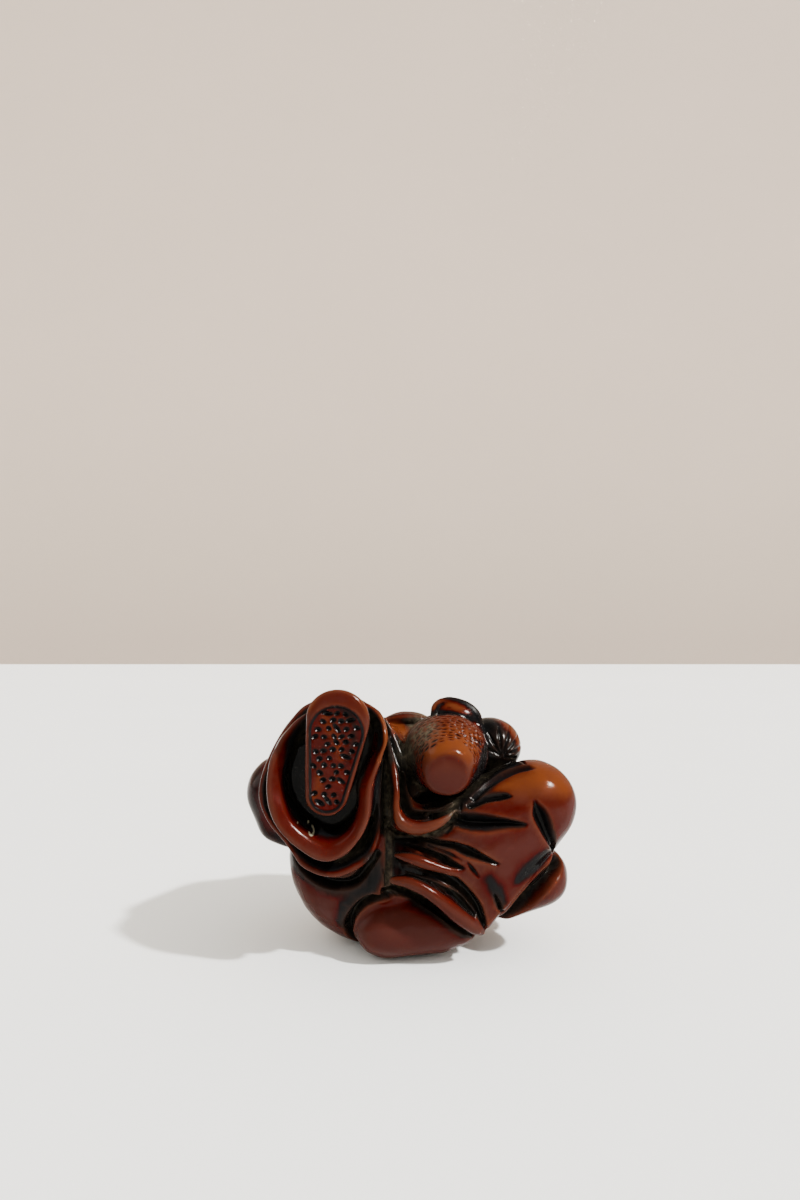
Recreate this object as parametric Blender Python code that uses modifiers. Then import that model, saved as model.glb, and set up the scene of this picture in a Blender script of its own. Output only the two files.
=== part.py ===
"""A netsuke: a small robed figure, bowed over and rolled into a ball, carved from one piece of wood.

The figure sits with its left leg stretched towards the front, so that the studded sole of the shoe
shows inside two hems of the robe. Its bowed head looks down into the collar, the right knee lifts the
robe in folds that spread from the lap, and a round lobe of cloth under the lap is what the carving rests
on. A cord channel runs in and out of the back.

Everything is drawn in millimetres, x to the right, y into the depth, z up, with the front at -y. The last
step turns it into metres, with the origin under the middle of the carving.
"""
import math

import bmesh
import bpy
import numpy as np
from mathutils import Euler, Matrix, Vector
from mathutils.bvhtree import BVHTree

# Driving sizes, in millimetres.
SCALE = 1.0  # whole carving, 1.0 is 39 mm wide
GRAIN = 0.24  # grid on which the rough forms are fused
TRIANGLES = 9000  # faces kept in the finished solid
FLAT_CUT = 0.45  # height taken off the underside, so that it stands
CORD_HOLE = 1.6  # radius of the cord channel

TOE = (-8.2, 29.45, 3.45)  # x, z and radius of the round toe of the shoe
HEEL = (-9.4, 21.5, 2.35)
SOLE_FACE = -12.6
SOLE_RIM = 0.4  # width of the raised border around the sole
SOLE_DROP = 1.3  # how far the sunk field stays below the toe
SOLE_DEPTH = 0.62

HEAD = (3.7, 23.7)  # x and z of the middle of the head, seen from the front
CROWN_FACE = -10.45  # the bare crown is worn flat here
CROWN_TILT = 0.2  # how much the flat leans down towards the chin
CROWN_EDGE = 0.14  # how softly the flat starts
CROWN_SPREAD = 3.6
COLLAR_LIP = 0.42

# Grooves on the front: (x, z, half width) along the groove, and how deep it goes.
FRONT_GROOVES = {
    "wide fold of the lap": (
        1.25,
        [(4.4, 18.0, 0.8), (5.8, 17.9, 1.15), (7.7, 17.7, 1.15), (9.7, 17.6, 0.8), (12.6, 17.4, 0.15)],
    ),
    "fold over the knee": (
        0.5,
        [(6.9, 20.0, 0.5), (9.0, 21.5, 0.6), (11.6, 22.7, 0.6), (13.2, 23.1, 0.5), (14.0, 23.1, 0.15)],
    ),
    "fold under the knee": (
        0.6,
        [(6.4, 19.3, 0.45), (8.1, 20.0, 0.5), (9.6, 20.3, 0.5), (10.5, 20.4, 0.35), (11.1, 20.4, 0.1)],
    ),
    "fold at the side of the knee": (
        1.0,
        [(13.6, 19.9, 0.3), (14.1, 18.6, 0.95), (14.9, 16.8, 0.85), (16.3, 13.4, 0.3)],
    ),
    "middle fold of the lap": (
        1.1,
        [(0.6, 15.5, 0.25), (2.7, 15.3, 0.4), (4.6, 15.0, 0.55), (6.6, 14.3, 0.62), (9.5, 13.1, 0.12)],
    ),
    "thin fold of the lap": (
        0.9,
        [(-0.6, 14.6, 0.2), (2.2, 14.0, 0.38), (3.9, 13.3, 0.42), (5.6, 12.6, 0.15)],
    ),
    "short fold": (0.4, [(6.0, 13.3, 0.15), (6.6, 12.5, 0.28), (7.3, 11.6, 0.12)]),
    "long fold": (
        1.2,
        [(-1.6, 13.1, 0.3), (0.6, 12.8, 0.4), (2.7, 12.2, 0.5), (4.6, 11.0, 0.65), (6.0, 9.5, 0.72),
         (7.2, 7.9, 0.55), (8.2, 5.4, 0.25)],
    ),
    "fold inside the long one": (
        0.8,
        [(-0.4, 12.0, 0.15), (2.7, 10.7, 0.3), (4.4, 9.7, 0.36), (5.8, 8.4, 0.36), (6.9, 7.2, 0.2)],
    ),
    "gap under the thick fold": (
        1.4,
        [(-3.2, 9.6, 0.6), (-1.2, 9.5, 0.8), (0.6, 8.9, 0.9), (2.3, 7.8, 0.85), (4.3, 6.4, 0.75),
         (6.9, 4.2, 0.35)],
    ),
    "edge of the lobe": (
        1.2,
        [(-6.4, 1.3, 0.3), (-7.3, 2.8, 0.5), (-7.5, 4.6, 0.6), (-6.6, 6.9, 0.6), (-4.9, 8.4, 0.6),
         (-2.6, 9.0, 0.55)],
    ),
    "notch in the hem": (1.0, [(9.1, 9.5, 0.12), (9.6, 8.3, 0.25), (10.1, 6.9, 0.32)]),
    "gap behind the collar band": (
        1.2,
        [(-1.2, 22.6, 0.3), (-1.1, 21.4, 0.45), (-1.0, 20.1, 0.55), (-0.5, 18.9, 0.58),
         (0.6, 18.4, 0.5), (2.0, 18.5, 0.45), (3.4, 19.1, 0.4), (4.4, 19.6, 0.2)],
    ),
    "hollow round the head": (
        1.6,
        [(-0.2, 22.8, 0.6), (0.0, 21.2, 0.8), (0.8, 20.0, 0.8), (2.4, 19.6, 0.7), (4.2, 20.1, 0.6),
         (7.4, 21.6, 0.4)],
    ),
    "crease under the collar band": (
        0.9,
        [(-2.9, 20.5, 0.35), (-2.7, 18.4, 0.45), (-2.4, 16.6, 0.5), (-1.2, 15.9, 0.5),
         (0.6, 15.9, 0.45), (2.4, 16.5, 0.4), (4.2, 17.6, 0.4)],
    ),
    "gap behind the hem of the drape": (
        2.2,
        [(17.6, 14.0, 0.35), (16.7, 12.1, 0.8), (15.2, 10.9, 1.0), (13.8, 9.3, 1.1), (12.4, 7.5, 1.1),
         (10.0, 5.2, 0.6)],
    ),
    "gap under the outer hem": (
        1.1,
        [(-15.0, 12.9, 0.3), (-13.2, 11.2, 0.6), (-11.0, 10.2, 0.75), (-8.6, 10.0, 0.75),
         (-6.4, 10.8, 0.7), (-4.0, 14.0, 0.4)],
    ),
    "crease between leg and lap": (
        0.7,
        [(-3.3, 25.0, 0.4), (-3.1, 20.0, 0.45), (-2.8, 16.2, 0.5), (-2.7, 13.0, 0.5), (-3.0, 10.4, 0.3)],
    ),
}

# Folds of the back, which spread from behind the right shoulder.
BACK_GROOVES = {
    "highest fold": (0.7, [(8.5, 20.5, 0.3), (3.0, 18.6, 1.0), (-4.0, 18.4, 1.0), (-11.0, 20.5, 0.3)]),
    "upper fold": (0.8, [(9.0, 18.6, 0.3), (3.0, 15.6, 1.0), (-4.0, 13.9, 1.2), (-12.0, 14.2, 0.3)]),
    "lower fold": (0.8, [(9.6, 16.5, 0.3), (5.0, 10.4, 1.0), (-1.5, 7.8, 1.2), (-9.0, 7.4, 0.3)]),
    "lowest fold": (0.6, [(10.6, 13.6, 0.3), (8.0, 8.4, 0.8), (3.0, 4.8, 0.8), (-3.0, 3.6, 0.3)]),
}


# ---- tools for the rough forms ----


def smooth_line(points, steps, closed=False):
    """A Catmull-Rom line through the points, of any number of columns."""
    given = np.array(points, float)
    count = len(given)
    made = []
    for i in range(count if closed else count - 1):
        if closed:
            a, b, c, d = (given[(i + k) % count] for k in (-1, 0, 1, 2))
        else:
            b, c = given[i], given[i + 1]
            a = given[i - 1] if i > 0 else 2 * b - c
            d = given[i + 2] if i + 2 < count else 2 * c - b
        for t in np.arange(steps) / steps:
            bend = (2 * a - 5 * b + 4 * c - d) * t**2
            twist = (3 * b - a - 3 * c + d) * t**3
            made.append(0.5 * (2 * b + (c - a) * t + bend + twist))
    if not closed:
        made.append(given[-1])
    return np.array(made)


def ball(bm, centre, radii, turn=(0, 0, 0), around=28):
    """An ellipsoid, turned by degrees about x, y and z."""
    if isinstance(radii, (int, float)):
        radii = (radii, radii, radii)
    turned = Euler([math.radians(angle) for angle in turn]).to_matrix().to_4x4()
    place = Matrix.Translation(centre) @ turned @ Matrix.Diagonal((*radii, 1))
    bmesh.ops.create_uvsphere(bm, u_segments=around, v_segments=around // 2, radius=1, matrix=place)


def hull(bm, *balls):
    """The skin stretched over some ellipsoids, each a centre and its radii."""
    piece = bmesh.new()
    for centre, radii in balls:
        ball(piece, centre, radii, around=20)
    found = bmesh.ops.convex_hull(piece, input=piece.verts)
    inner = found["geom_interior"] + found["geom_unused"]
    loose = {v for v in inner if isinstance(v, bmesh.types.BMVert)}
    bmesh.ops.delete(piece, geom=list(loose), context="VERTS")
    append(bm, piece)


def append(bm, piece):
    mesh = bpy.data.meshes.new("piece")
    piece.to_mesh(mesh)
    piece.free()
    bm.from_mesh(mesh)
    bpy.data.meshes.remove(mesh)


def strand(bm, points, steps=8):
    """A round roll of cloth with rounded ends, through (x, y, z, radius) points."""
    line = smooth_line(points, steps)
    curve = bpy.data.curves.new("strand", "CURVE")
    curve.dimensions = "3D"
    curve.bevel_depth = 1.0
    curve.bevel_resolution = 3
    curve.use_fill_caps = True
    spline = curve.splines.new("POLY")
    spline.points.add(len(line) - 1)
    for point, (x, y, z, radius) in zip(spline.points, line):
        point.co = (x, y, z, 1)
        point.radius = radius
    obj = bpy.data.objects.new("strand", curve)
    bpy.context.scene.collection.objects.link(obj)
    graph = bpy.context.evaluated_depsgraph_get()
    mesh = bpy.data.meshes.new_from_object(obj.evaluated_get(graph))
    piece = bmesh.new()
    piece.from_mesh(mesh)
    bmesh.ops.remove_doubles(piece, verts=piece.verts, dist=1e-4)
    for x, y, z, radius in (line[0], line[-1]):
        ball(piece, (x, y, z), radius, around=12)
    append(bm, piece)
    bpy.data.meshes.remove(mesh)
    bpy.data.objects.remove(obj)
    bpy.data.curves.remove(curve)


def sleeve(bm, crest, facet, floor, floor_scale, back, back_scale):
    """A tube of cloth seen end on. Its crest line carries a facet that slopes into the hollow."""
    line = smooth_line(crest, 6, closed=True)
    middle = line.mean(0)
    outward = line - middle
    outward[:, 1] = 0
    unit = outward / np.linalg.norm(outward, axis=1)[:, None]
    front = line[:, 1].mean()
    # size against the crest, shift along its normal, depth behind it, or a fixed depth
    rings = (
        (0.05, 0, None, back),
        (back_scale, 0, None, back),
        (0.5 + 0.5 * back_scale, 0.9, None, 0.45 * back + 0.55 * front),
        (1, 0.1, 1.6, None),
        (1, 0.05, 0.5, None),
        (1, -0.15, 0.1, None),
        (1, -0.45, 0.05, None),
        (1, -facet, 0.45 * facet, None),
        (1, -facet - 0.35, 0.45 * facet + 0.8, None),
        (floor_scale, 0, None, floor),
        (0.05, 0, None, floor),
    )
    made = []
    for size, shift, behind, depth in rings:
        ring = middle + outward * size + unit * shift
        ring[:, 1] = line[:, 1] + behind if depth is None else depth
        made.append([bm.verts.new(point) for point in ring])
    for first, second in zip(made, made[1:]):
        for i in range(len(line)):
            j = (i + 1) % len(line)
            bm.faces.new((first[i], first[j], second[j], second[i]))
    bm.faces.new(made[0][::-1])
    bm.faces.new(made[-1])


# ---- the rough forms ----


def add_body(bm):
    """The rolled-up trunk, the seat and the round lobe that the carving rests on."""
    ball(bm, (-0.5, 2.8, 12.5), (13.5, 9.4, 11.4))
    ball(bm, (-0.5, 5.0, 18.0), (12.5, 8.8, 8.4))
    ball(bm, (-4.3, 1.4, 11.0), (10.9, 8.8, 10.6))
    hull(
        bm,
        ((-3.0, -3.7, 4.7), (3.7, 4.4, 4.0)),
        ((-4.3, -4.5, 4.2), (2.4, 3.2, 2.8)),
        ((2.6, -3.4, 4.7), (3.6, 4.2, 3.6)),
        ((5.0, -4.6, 4.9), (2.7, 3.0, 2.5)),
        ((0.0, -2.6, 5.4), (5.0, 5.2, 4.0)),
        ((-0.5, 2.0, 6.0), (8.0, 7.0, 5.7)),
    )


def add_leg(bm):
    """The outstretched leg inside two hems of the robe, with a third layer of cloth at its side."""
    hull(bm, ((-9.6, -3.5, 23.6), (6.0, 3.5, 7.0)), ((-6.0, 4.0, 19.5), (9.0, 7.0, 7.5)))
    hull(
        bm,
        ((-15.7, 0.5, 18.9), 4.6),
        ((-15.9, 0.5, 15.9), 3.3),
        ((-13.9, 0.5, 14.2), 2.4),
        ((-9.0, 4.0, 18.0), 8),
    )
    hull(bm, ((-3.8, -4.2, 15.5), (1.8, 3.9, 2.0)), ((-3.5, -4.2, 9.6), (2.3, 3.8, 2.4)))
    outer_crest = [
        (-12.4, -5.0, 30.1), (-15.2, -5.0, 27.1), (-17.3, -5.0, 23.0), (-18.0, -5.0, 19.8),
        (-17.2, -5.0, 17.0), (-14.7, -6.0, 14.2), (-12.5, -8.0, 12.3), (-9.3, -9.3, 11.5),
        (-6.3, -9.3, 12.4), (-4.2, -9.0, 14.5), (-3.5, -8.3, 17.7), (-3.6, -8.0, 21.0),
        (-3.6, -7.0, 25.0), (-4.6, -6.0, 29.5), (-8.0, -5.0, 31.2),
    ]
    sleeve(bm, outer_crest, facet=0.9, floor=-6.2, floor_scale=0.80, back=2.0, back_scale=0.72)
    inner_crest = [
        (-13.2, -8.0, 28.7), (-15.5, -10.0, 25.6), (-16.1, -11.0, 22.2), (-15.1, -12.0, 18.4),
        (-12.4, -12.2, 15.6), (-9.4, -12.4, 14.3), (-6.7, -12.3, 15.6), (-4.9, -12.0, 18.6),
        (-4.5, -11.3, 22.2), (-3.5, -10.3, 25.1), (-2.9, -9.6, 27.2), (-4.0, -8.0, 30.0),
        (-8.0, -6.5, 31.4),
    ]
    sleeve(bm, inner_crest, facet=1.5, floor=-7.5, floor_scale=0.70, back=-3.5, back_scale=0.80)


def add_shoe(bm):
    """A tapered shoe, toe up, whose sole faces the viewer."""
    thick = 0.8
    (toe_x, toe_z, toe), (heel_x, heel_z, heel) = TOE, HEEL
    hull(
        bm,
        ((toe_x, SOLE_FACE + thick, toe_z), (toe, thick, toe)),
        ((heel_x, SOLE_FACE + thick, heel_z), (heel, thick, heel)),
        ((toe_x - 0.4, -5.0, toe_z - 1.0), (toe - 0.1, 2.0, toe - 0.1)),
        ((heel_x, -5.0, heel_z + 1.0), (heel, 2.0, heel + 0.2)),
    )


def add_knee_and_drape(bm):
    """The lifted right knee, the cloth that hangs from it, its hem, and the lobe of cloth behind it."""
    knee = ((14.1, -3.8, 18.6), (5.1, 4.9, 5.0))
    hull(bm, knee, ((7.0, -3.6, 16.2), (5.6, 5.8, 4.6)), ((3.5, -3.0, 14.4), (4.2, 5.8, 3.4)))
    hull(
        bm,
        knee,
        ((15.5, -4.5, 14.2), (1.3, 0.9, 1.5)),
        ((7.9, -7.3, 6.4), (1.2, 1.0, 1.2)),
        ((6.4, -6.0, 7.9), (1.5, 2.0, 1.5)),
        ((2.4, -4.5, 12.0), (2.8, 4.4, 2.6)),
        ((8.5, -4.0, 14.0), (5.6, 5.4, 4.6)),
    )
    hull(
        bm,
        ((0.5, -3.6, 13.0), (3.0, 4.6, 2.4)),
        ((5.5, -3.6, 9.0), (3.0, 4.2, 3.0)),
        ((-1.0, -2.0, 10.5), (2.6, 4.6, 2.6)),
    )
    strand(
        bm,
        [(16.9, -4.0, 15.0, 0.3), (14.3, -6.6, 12.5, 0.4),
         (12.0, -7.7, 10.0, 0.4), (8.3, -8.1, 6.1, 0.3)],
    )
    hull(
        bm,
        ((14.7, -3.4, 10.0), (3.6, 4.0, 3.5)),
        ((10.6, -3.0, 8.6), (3.7, 4.0, 3.7)),
        ((15.5, -3.6, 10.9), 2.4),
    )


def add_lap_folds(bm):
    """Three rolls of cloth that spread from the lap, thicker downwards."""
    strand(
        bm,
        [(-2.0, -8.6, 14.0, 0.35), (0.0, -9.5, 13.8, 0.62),
         (3.6, -9.2, 12.5, 0.6), (5.6, -8.6, 11.8, 0.35)],
    )
    strand(
        bm,
        [(-1.0, -8.6, 12.2, 0.2), (2.9, -9.0, 11.0, 0.3), (4.6, -8.6, 10.0, 0.3), (6.0, -8.0, 8.6, 0.2)],
    )
    strand(
        bm,
        [(-2.3, -8.6, 11.2, 0.45), (-0.6, -9.2, 11.2, 0.68), (1.1, -9.5, 10.5, 0.75),
         (2.9, -9.4, 9.3, 0.85), (5.0, -8.7, 7.4, 0.95), (6.8, -7.7, 5.7, 0.9),
         (7.7, -7.1, 4.9, 0.55)],
    )


def add_head(bm):
    """The bowed head, its crown towards the viewer, on a neck that runs into the robe."""
    x, z = HEAD
    hull(bm, ((x, -8.3, z + 0.2), (3.3, 3.2, 3.3)), ((x + 0.2, -4.3, z + 0.9), (5.0, 4.4, 4.5)))
    ball(bm, (x + 0.8, 0.0, z + 0.8), (5.5, 5.0, 4.2))


def add_collars(bm):
    """The standing collar at the nape, the broad band that turns under the head, and its inner edge."""
    ball(bm, (5.2, -0.8, 28.1), (3.0, 1.9, 2.0))
    hull(bm, ((3.5, -0.3, 28.8), 1.1), ((6.7, -0.3, 28.4), 1.2), ((5.0, -0.1, 29.1), 1.1))
    lip = COLLAR_LIP
    strand(
        bm,
        [(2.5, -2.0, 28.2, lip), (2.6, -1.6, 29.5, lip), (3.4, -1.2, 30.2, lip),
         (4.8, -1.0, 30.35, lip), (6.3, -1.0, 30.0, lip), (7.4, -1.1, 29.3, lip),
         (8.0, -1.3, 28.4, lip), (8.0, -1.6, 27.3, lip)],
    )
    strand(
        bm,
        [(2.5, -2.8, 29.6, 0.3), (3.3, -3.3, 29.95, 0.55), (4.7, -3.5, 29.9, 0.6),
         (6.0, -3.3, 29.5, 0.35), (6.6, -3.1, 29.2, 0.2)],
    )
    hull(
        bm,
        ((-3.0, -3.4, 26.4), 0.9),
        ((-1.9, -6.6, 21.6), 0.8),
        ((-1.3, -8.0, 17.9), 1.3),
        ((1.0, -7.8, 17.0), 1.3),
        ((-1.5, 1.0, 20.0), 4.0),
    )
    strand(
        bm,
        [(-3.3, -3.6, 28.5, 0.25), (-2.3, -4.4, 26.4, 0.4),
         (-1.4, -5.4, 24.1, 0.5), (-1.0, -6.0, 22.9, 0.3)],
    )
    strand(
        bm,
        [(-3.0, -5.0, 26.5, 0.3), (-2.3, -7.0, 23.7, 0.5), (-1.9, -8.7, 21.2, 0.45),
         (-1.95, -9.2, 19.4, 0.5), (-1.45, -9.5, 18.0, 0.7), (-0.4, -9.6, 17.4, 0.75),
         (0.9, -9.6, 17.25, 0.7), (2.4, -9.4, 17.6, 0.6), (3.7, -8.9, 18.2, 0.45),
         (4.8, -8.3, 18.8, 0.3)],
    )
    strand(
        bm,
        [(-1.0, -5.6, 22.2, 0.38), (-0.8, -6.8, 20.7, 0.38), (-0.1, -7.8, 19.3, 0.38),
         (1.2, -8.2, 18.7, 0.38), (2.7, -8.3, 18.8, 0.38), (4.3, -8.1, 19.5, 0.38)],
    )


def add_shoulders(bm):
    """The gathered cloth right of the head, the far shoulder, and the hip and side behind them."""
    ball(bm, (9.6, 0.6, 24.5), (3.8, 4.0, 3.5))
    hull(bm, ((-0.6, 8.3, 23.7), (4.8, 3.6, 4.0)), ((-1.0, 7.4, 19.0), (10.5, 6.2, 6.8)))
    ball(bm, (-1.6, 4.0, 22.2), (3.4, 3.3, 3.3))
    strand(
        bm,
        [(-4.2, 5.6, 25.6, 0.5), (-2.9, 5.1, 26.8, 0.7), (-0.9, 4.9, 27.2, 0.75),
         (1.1, 5.0, 27.0, 0.7), (2.9, 5.4, 26.2, 0.5)],
    )
    hull(bm, ((13.2, -1.6, 17.6), (4.2, 4.2, 4.6)), ((8.0, 5.0, 15.0), (6.0, 6.6, 7.5)))
    hull(bm, ((14.2, 1.6, 9.0), (3.2, 3.6, 3.2)), ((6.0, 4.5, 9.0), (6.0, 6.5, 6.0)))
    hull(bm, ((9.2, 1.6, 23.8), (3.0, 3.4, 3.0)), ((5.0, 6.0, 20.0), (6.5, 6.0, 5.0)))


# ---- fusing and carving ----


def new_object(name, bm, collection):
    bmesh.ops.recalc_face_normals(bm, faces=bm.faces)
    mesh = bpy.data.meshes.new(name)
    bm.to_mesh(mesh)
    bm.free()
    obj = bpy.data.objects.new(name, mesh)
    collection.objects.link(obj)
    return obj


def apply_modifiers(obj):
    graph = bpy.context.evaluated_depsgraph_get()
    mesh = bpy.data.meshes.new_from_object(obj.evaluated_get(graph))
    obj.modifiers.clear()
    old = obj.data
    obj.data = mesh
    bpy.data.meshes.remove(old)


def fuse(obj):
    """Turns the overlapping forms into one skin."""
    remesh = obj.modifiers.new("one skin", "REMESH")
    remesh.mode = "VOXEL"
    remesh.voxel_size = GRAIN
    apply_modifiers(obj)
    keep_largest_skin(obj.data)


def keep_largest_skin(mesh):
    """Fills the small pockets that stay sealed between the forms, by removing their skins."""
    bm = bmesh.new()
    bm.from_mesh(mesh)
    left = set(bm.verts)
    skins = []
    while left:
        skin, edge = set(), {left.pop()}
        while edge:
            skin |= edge
            edge = {link.other_vert(v) for v in edge for link in v.link_edges} - skin
        left -= skin
        skins.append(skin)
    largest = max(skins, key=len)
    small = [v for skin in skins if skin is not largest for v in skin]
    bmesh.ops.delete(bm, geom=small, context="VERTS")
    bm.to_mesh(mesh)
    bm.free()


def thin_out(obj):
    """Keeps faces where the carving needs them."""
    obj.data.calc_loop_triangles()
    decimate = obj.modifiers.new("fewer faces", "DECIMATE")
    decimate.ratio = TRIANGLES / len(obj.data.loop_triangles)
    decimate.use_collapse_triangulate = True
    apply_modifiers(obj)


def points_of(mesh):
    points = np.empty(len(mesh.vertices) * 3)
    mesh.vertices.foreach_get("co", points)
    return points.reshape(-1, 3)


def set_points(mesh, points):
    mesh.vertices.foreach_set("co", np.ascontiguousarray(points).ravel())
    mesh.update()


def neighbour_mean(mesh, values):
    """Each vertex's mean over the vertices it shares an edge with."""
    ends = np.empty(len(mesh.edges) * 2, int)
    mesh.edges.foreach_get("vertices", ends)
    first, second = ends.reshape(-1, 2).T
    count = len(values)
    total = np.empty_like(values)
    for k in range(values.shape[1]):
        total[:, k] = np.bincount(first, values[second, k], count)
        total[:, k] += np.bincount(second, values[first, k], count)
    return total / np.bincount(ends, minlength=count)[:, None]


def relax(mesh, rounds):
    points = points_of(mesh)
    for _ in range(rounds):
        points = 0.5 * points + 0.5 * neighbour_mean(mesh, points)
    set_points(mesh, points)


def broad_normals(mesh, rounds):
    """Normals that follow the large forms and not each facet."""
    normals = np.empty(len(mesh.vertices) * 3)
    mesh.vertices.foreach_get("normal", normals)
    normals = normals.reshape(-1, 3)
    for _ in range(rounds):
        normals = 0.5 * normals + 0.5 * neighbour_mean(mesh, normals)
    return normals / np.maximum(np.linalg.norm(normals, axis=1), 1e-6)[:, None]


def near_line(points, line):
    """Each point's distance to a line of straight pieces, and how far along the line it is nearest."""
    steps = np.diff(line, axis=0)
    lengths = np.linalg.norm(steps, axis=1)
    starts = np.concatenate([[0], np.cumsum(lengths)])
    distance = np.full(len(points), np.inf)
    along = np.zeros(len(points))
    for start, step, length, base in zip(line, steps, lengths, starts):
        t = np.clip((points - start) @ step / length**2, 0, 1)
        found = np.linalg.norm(points - start - t[:, None] * step, axis=1)
        nearer = found < distance
        distance[nearer] = found[nearer]
        along[nearer] = (base + t[nearer] * length) / starts[-1]
    return distance, along


def lay_on(tree, drawn, side):
    """Puts a line drawn on the front (side -1) or back (side 1) view onto the surface."""
    laid = []
    for x, z, half in smooth_line(drawn, 5):
        spot = tree.ray_cast(Vector((x, 40 * side, z)), Vector((0, -side, 0)))[0]
        if spot is not None:
            laid.append((*spot, half))
    laid = np.array(laid)
    for _ in range(3):
        laid[1:-1, 1] = 0.25 * laid[:-2, 1] + 0.5 * laid[1:-1, 1] + 0.25 * laid[2:, 1]
    return laid[:, :3], laid[:, 3]


def carve_groove(points, normals, tree, drawn, depth, side):
    """Sinks a leaf-shaped groove, deepest where it is widest."""
    line, halves = lay_on(tree, drawn, side)
    widest = halves.max()
    low, high = line.min(0) - 1.5 * widest, line.max(0) + 1.5 * widest
    facing = normals[:, 1] * side > (-0.25 if side < 0 else -0.1)
    near = np.flatnonzero(((points > low) & (points < high)).all(1) & facing)
    distance, along = near_line(points[near], line)
    lengths = np.concatenate([[0], np.cumsum(np.linalg.norm(np.diff(line, axis=0), axis=1))])
    half = np.interp(along, lengths / lengths[-1], halves)
    across = np.clip(distance / half, 0, 1)
    sunk = depth * (half / widest) ** 0.6 * (1 - across**2) ** 1.3
    points[near] -= normals[near] * sunk[:, None]


def inside_sole(points):
    """How far inside the sunk field of the sole each point is, seen from the front."""
    toe = np.array(TOE) - (0.15, SOLE_DROP, SOLE_RIM)
    heel = np.array(HEEL) - (-0.05, 0, SOLE_RIM - 0.05)
    length = heel[:2] - toe[:2]
    flat = points[:, [0, 2]] - toe[:2]
    t = np.clip(flat @ length / (length @ length), 0, 1)
    return toe[2] + t * (heel[2] - toe[2]) - np.linalg.norm(flat - t[:, None] * length, axis=1)


def carve_sole(points):
    """A flat field, sunk inside a raised border."""
    share = np.clip(inside_sole(points) / 0.35, 0, 1)
    sunk = np.maximum(points[:, 1], SOLE_FACE + SOLE_DEPTH)
    on_sole = points[:, 1] < SOLE_FACE + 1.2
    points[on_sole, 1] += (share * (sunk - points[:, 1]))[on_sole]


def carve_crown(points):
    """The bare crown, worn almost flat."""
    off_centre = np.hypot(points[:, 0] - HEAD[0], points[:, 2] - HEAD[1])
    near = (off_centre < CROWN_SPREAD) & (points[:, 1] < CROWN_FACE + 0.7)
    face = CROWN_FACE - CROWN_TILT * (points[near, 2] - HEAD[1] + 0.3)
    proud = CROWN_EDGE * np.log1p(np.exp((face - points[near, 1]) / CROWN_EDGE))
    points[near, 1] += 0.85 * proud


def carve(mesh):
    relax(mesh, 3)
    bm = bmesh.new()
    bm.from_mesh(mesh)
    tree = BVHTree.FromBMesh(bm)
    bm.free()
    normals = broad_normals(mesh, round(2 / GRAIN))
    points = points_of(mesh)
    for depth, drawn in FRONT_GROOVES.values():
        carve_groove(points, normals, tree, drawn, depth, side=-1)
    for depth, drawn in BACK_GROOVES.values():
        carve_groove(points, normals, tree, drawn, depth, side=1)
    carve_crown(points)
    carve_sole(points)
    set_points(mesh, points)
    relax(mesh, 1)


def bore_cord_channel(obj, cutters):
    """Two holes low in the back, joined by a channel for the cord."""
    bm = bmesh.new()
    radius = CORD_HOLE
    strand(
        bm,
        [(-5.5, 16.0, 12.0, radius), (-4.6, 11.0, 12.0, radius), (-2.6, 8.4, 12.0, radius),
         (0.0, 7.6, 12.0, radius), (2.6, 8.4, 12.0, radius), (4.6, 11.0, 12.0, radius),
         (5.5, 16.0, 12.0, radius)],
        steps=5,
    )
    cutter = new_object("cord_channel_cutter", bm, cutters)
    union = cutter.modifiers.new("one skin", "REMESH")
    union.mode = "VOXEL"
    union.voxel_size = 0.35
    apply_modifiers(cutter)
    slim = cutter.modifiers.new("fewer faces", "DECIMATE")
    slim.ratio = 0.12
    apply_modifiers(cutter)
    cutter.hide_render = True
    cutter.display_type = "WIRE"
    cut = obj.modifiers.new("cord channel", "BOOLEAN")
    cut.operation = "DIFFERENCE"
    cut.object = cutter
    apply_modifiers(obj)


def stand_it(obj):
    """Cuts the small flat under the lobe, and moves the origin under the middle of the carving."""
    bm = bmesh.new()
    bm.from_mesh(obj.data)
    floor = min(v.co.z for v in bm.verts) + FLAT_CUT
    everything = bm.verts[:] + bm.edges[:] + bm.faces[:]
    plane = {"plane_co": (0, 0, floor), "plane_no": (0, 0, -1)}
    cut = bmesh.ops.bisect_plane(bm, geom=everything, clear_outer=True, **plane)
    rim = [edge for edge in cut["geom_cut"] if isinstance(edge, bmesh.types.BMEdge)]
    bmesh.ops.edgenet_fill(bm, edges=rim)
    bmesh.ops.recalc_face_normals(bm, faces=bm.faces)
    points = np.array([v.co for v in bm.verts])
    low, high = points.min(0), points.max(0)
    middle = Vector((*(low + high)[:2] / 2, low[2]))
    bmesh.ops.translate(bm, verts=bm.verts, vec=-middle)
    bmesh.ops.scale(bm, verts=bm.verts, vec=[SCALE * 0.001] * 3)
    bm.to_mesh(obj.data)
    bm.free()


def stained_wood():
    """Dark stained boxwood, polished by handling."""
    material = bpy.data.materials.new("stained_boxwood")
    material.use_nodes = True
    surface = material.node_tree.nodes["Principled BSDF"]
    surface.inputs["Base Color"].default_value = (0.105, 0.022, 0.011, 1)
    surface.inputs["Roughness"].default_value = 0.28
    surface.inputs["Metallic"].default_value = 0.0
    return material


def new_collection(name):
    collection = bpy.data.collections.new(name)
    bpy.context.scene.collection.children.link(collection)
    return collection


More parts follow.
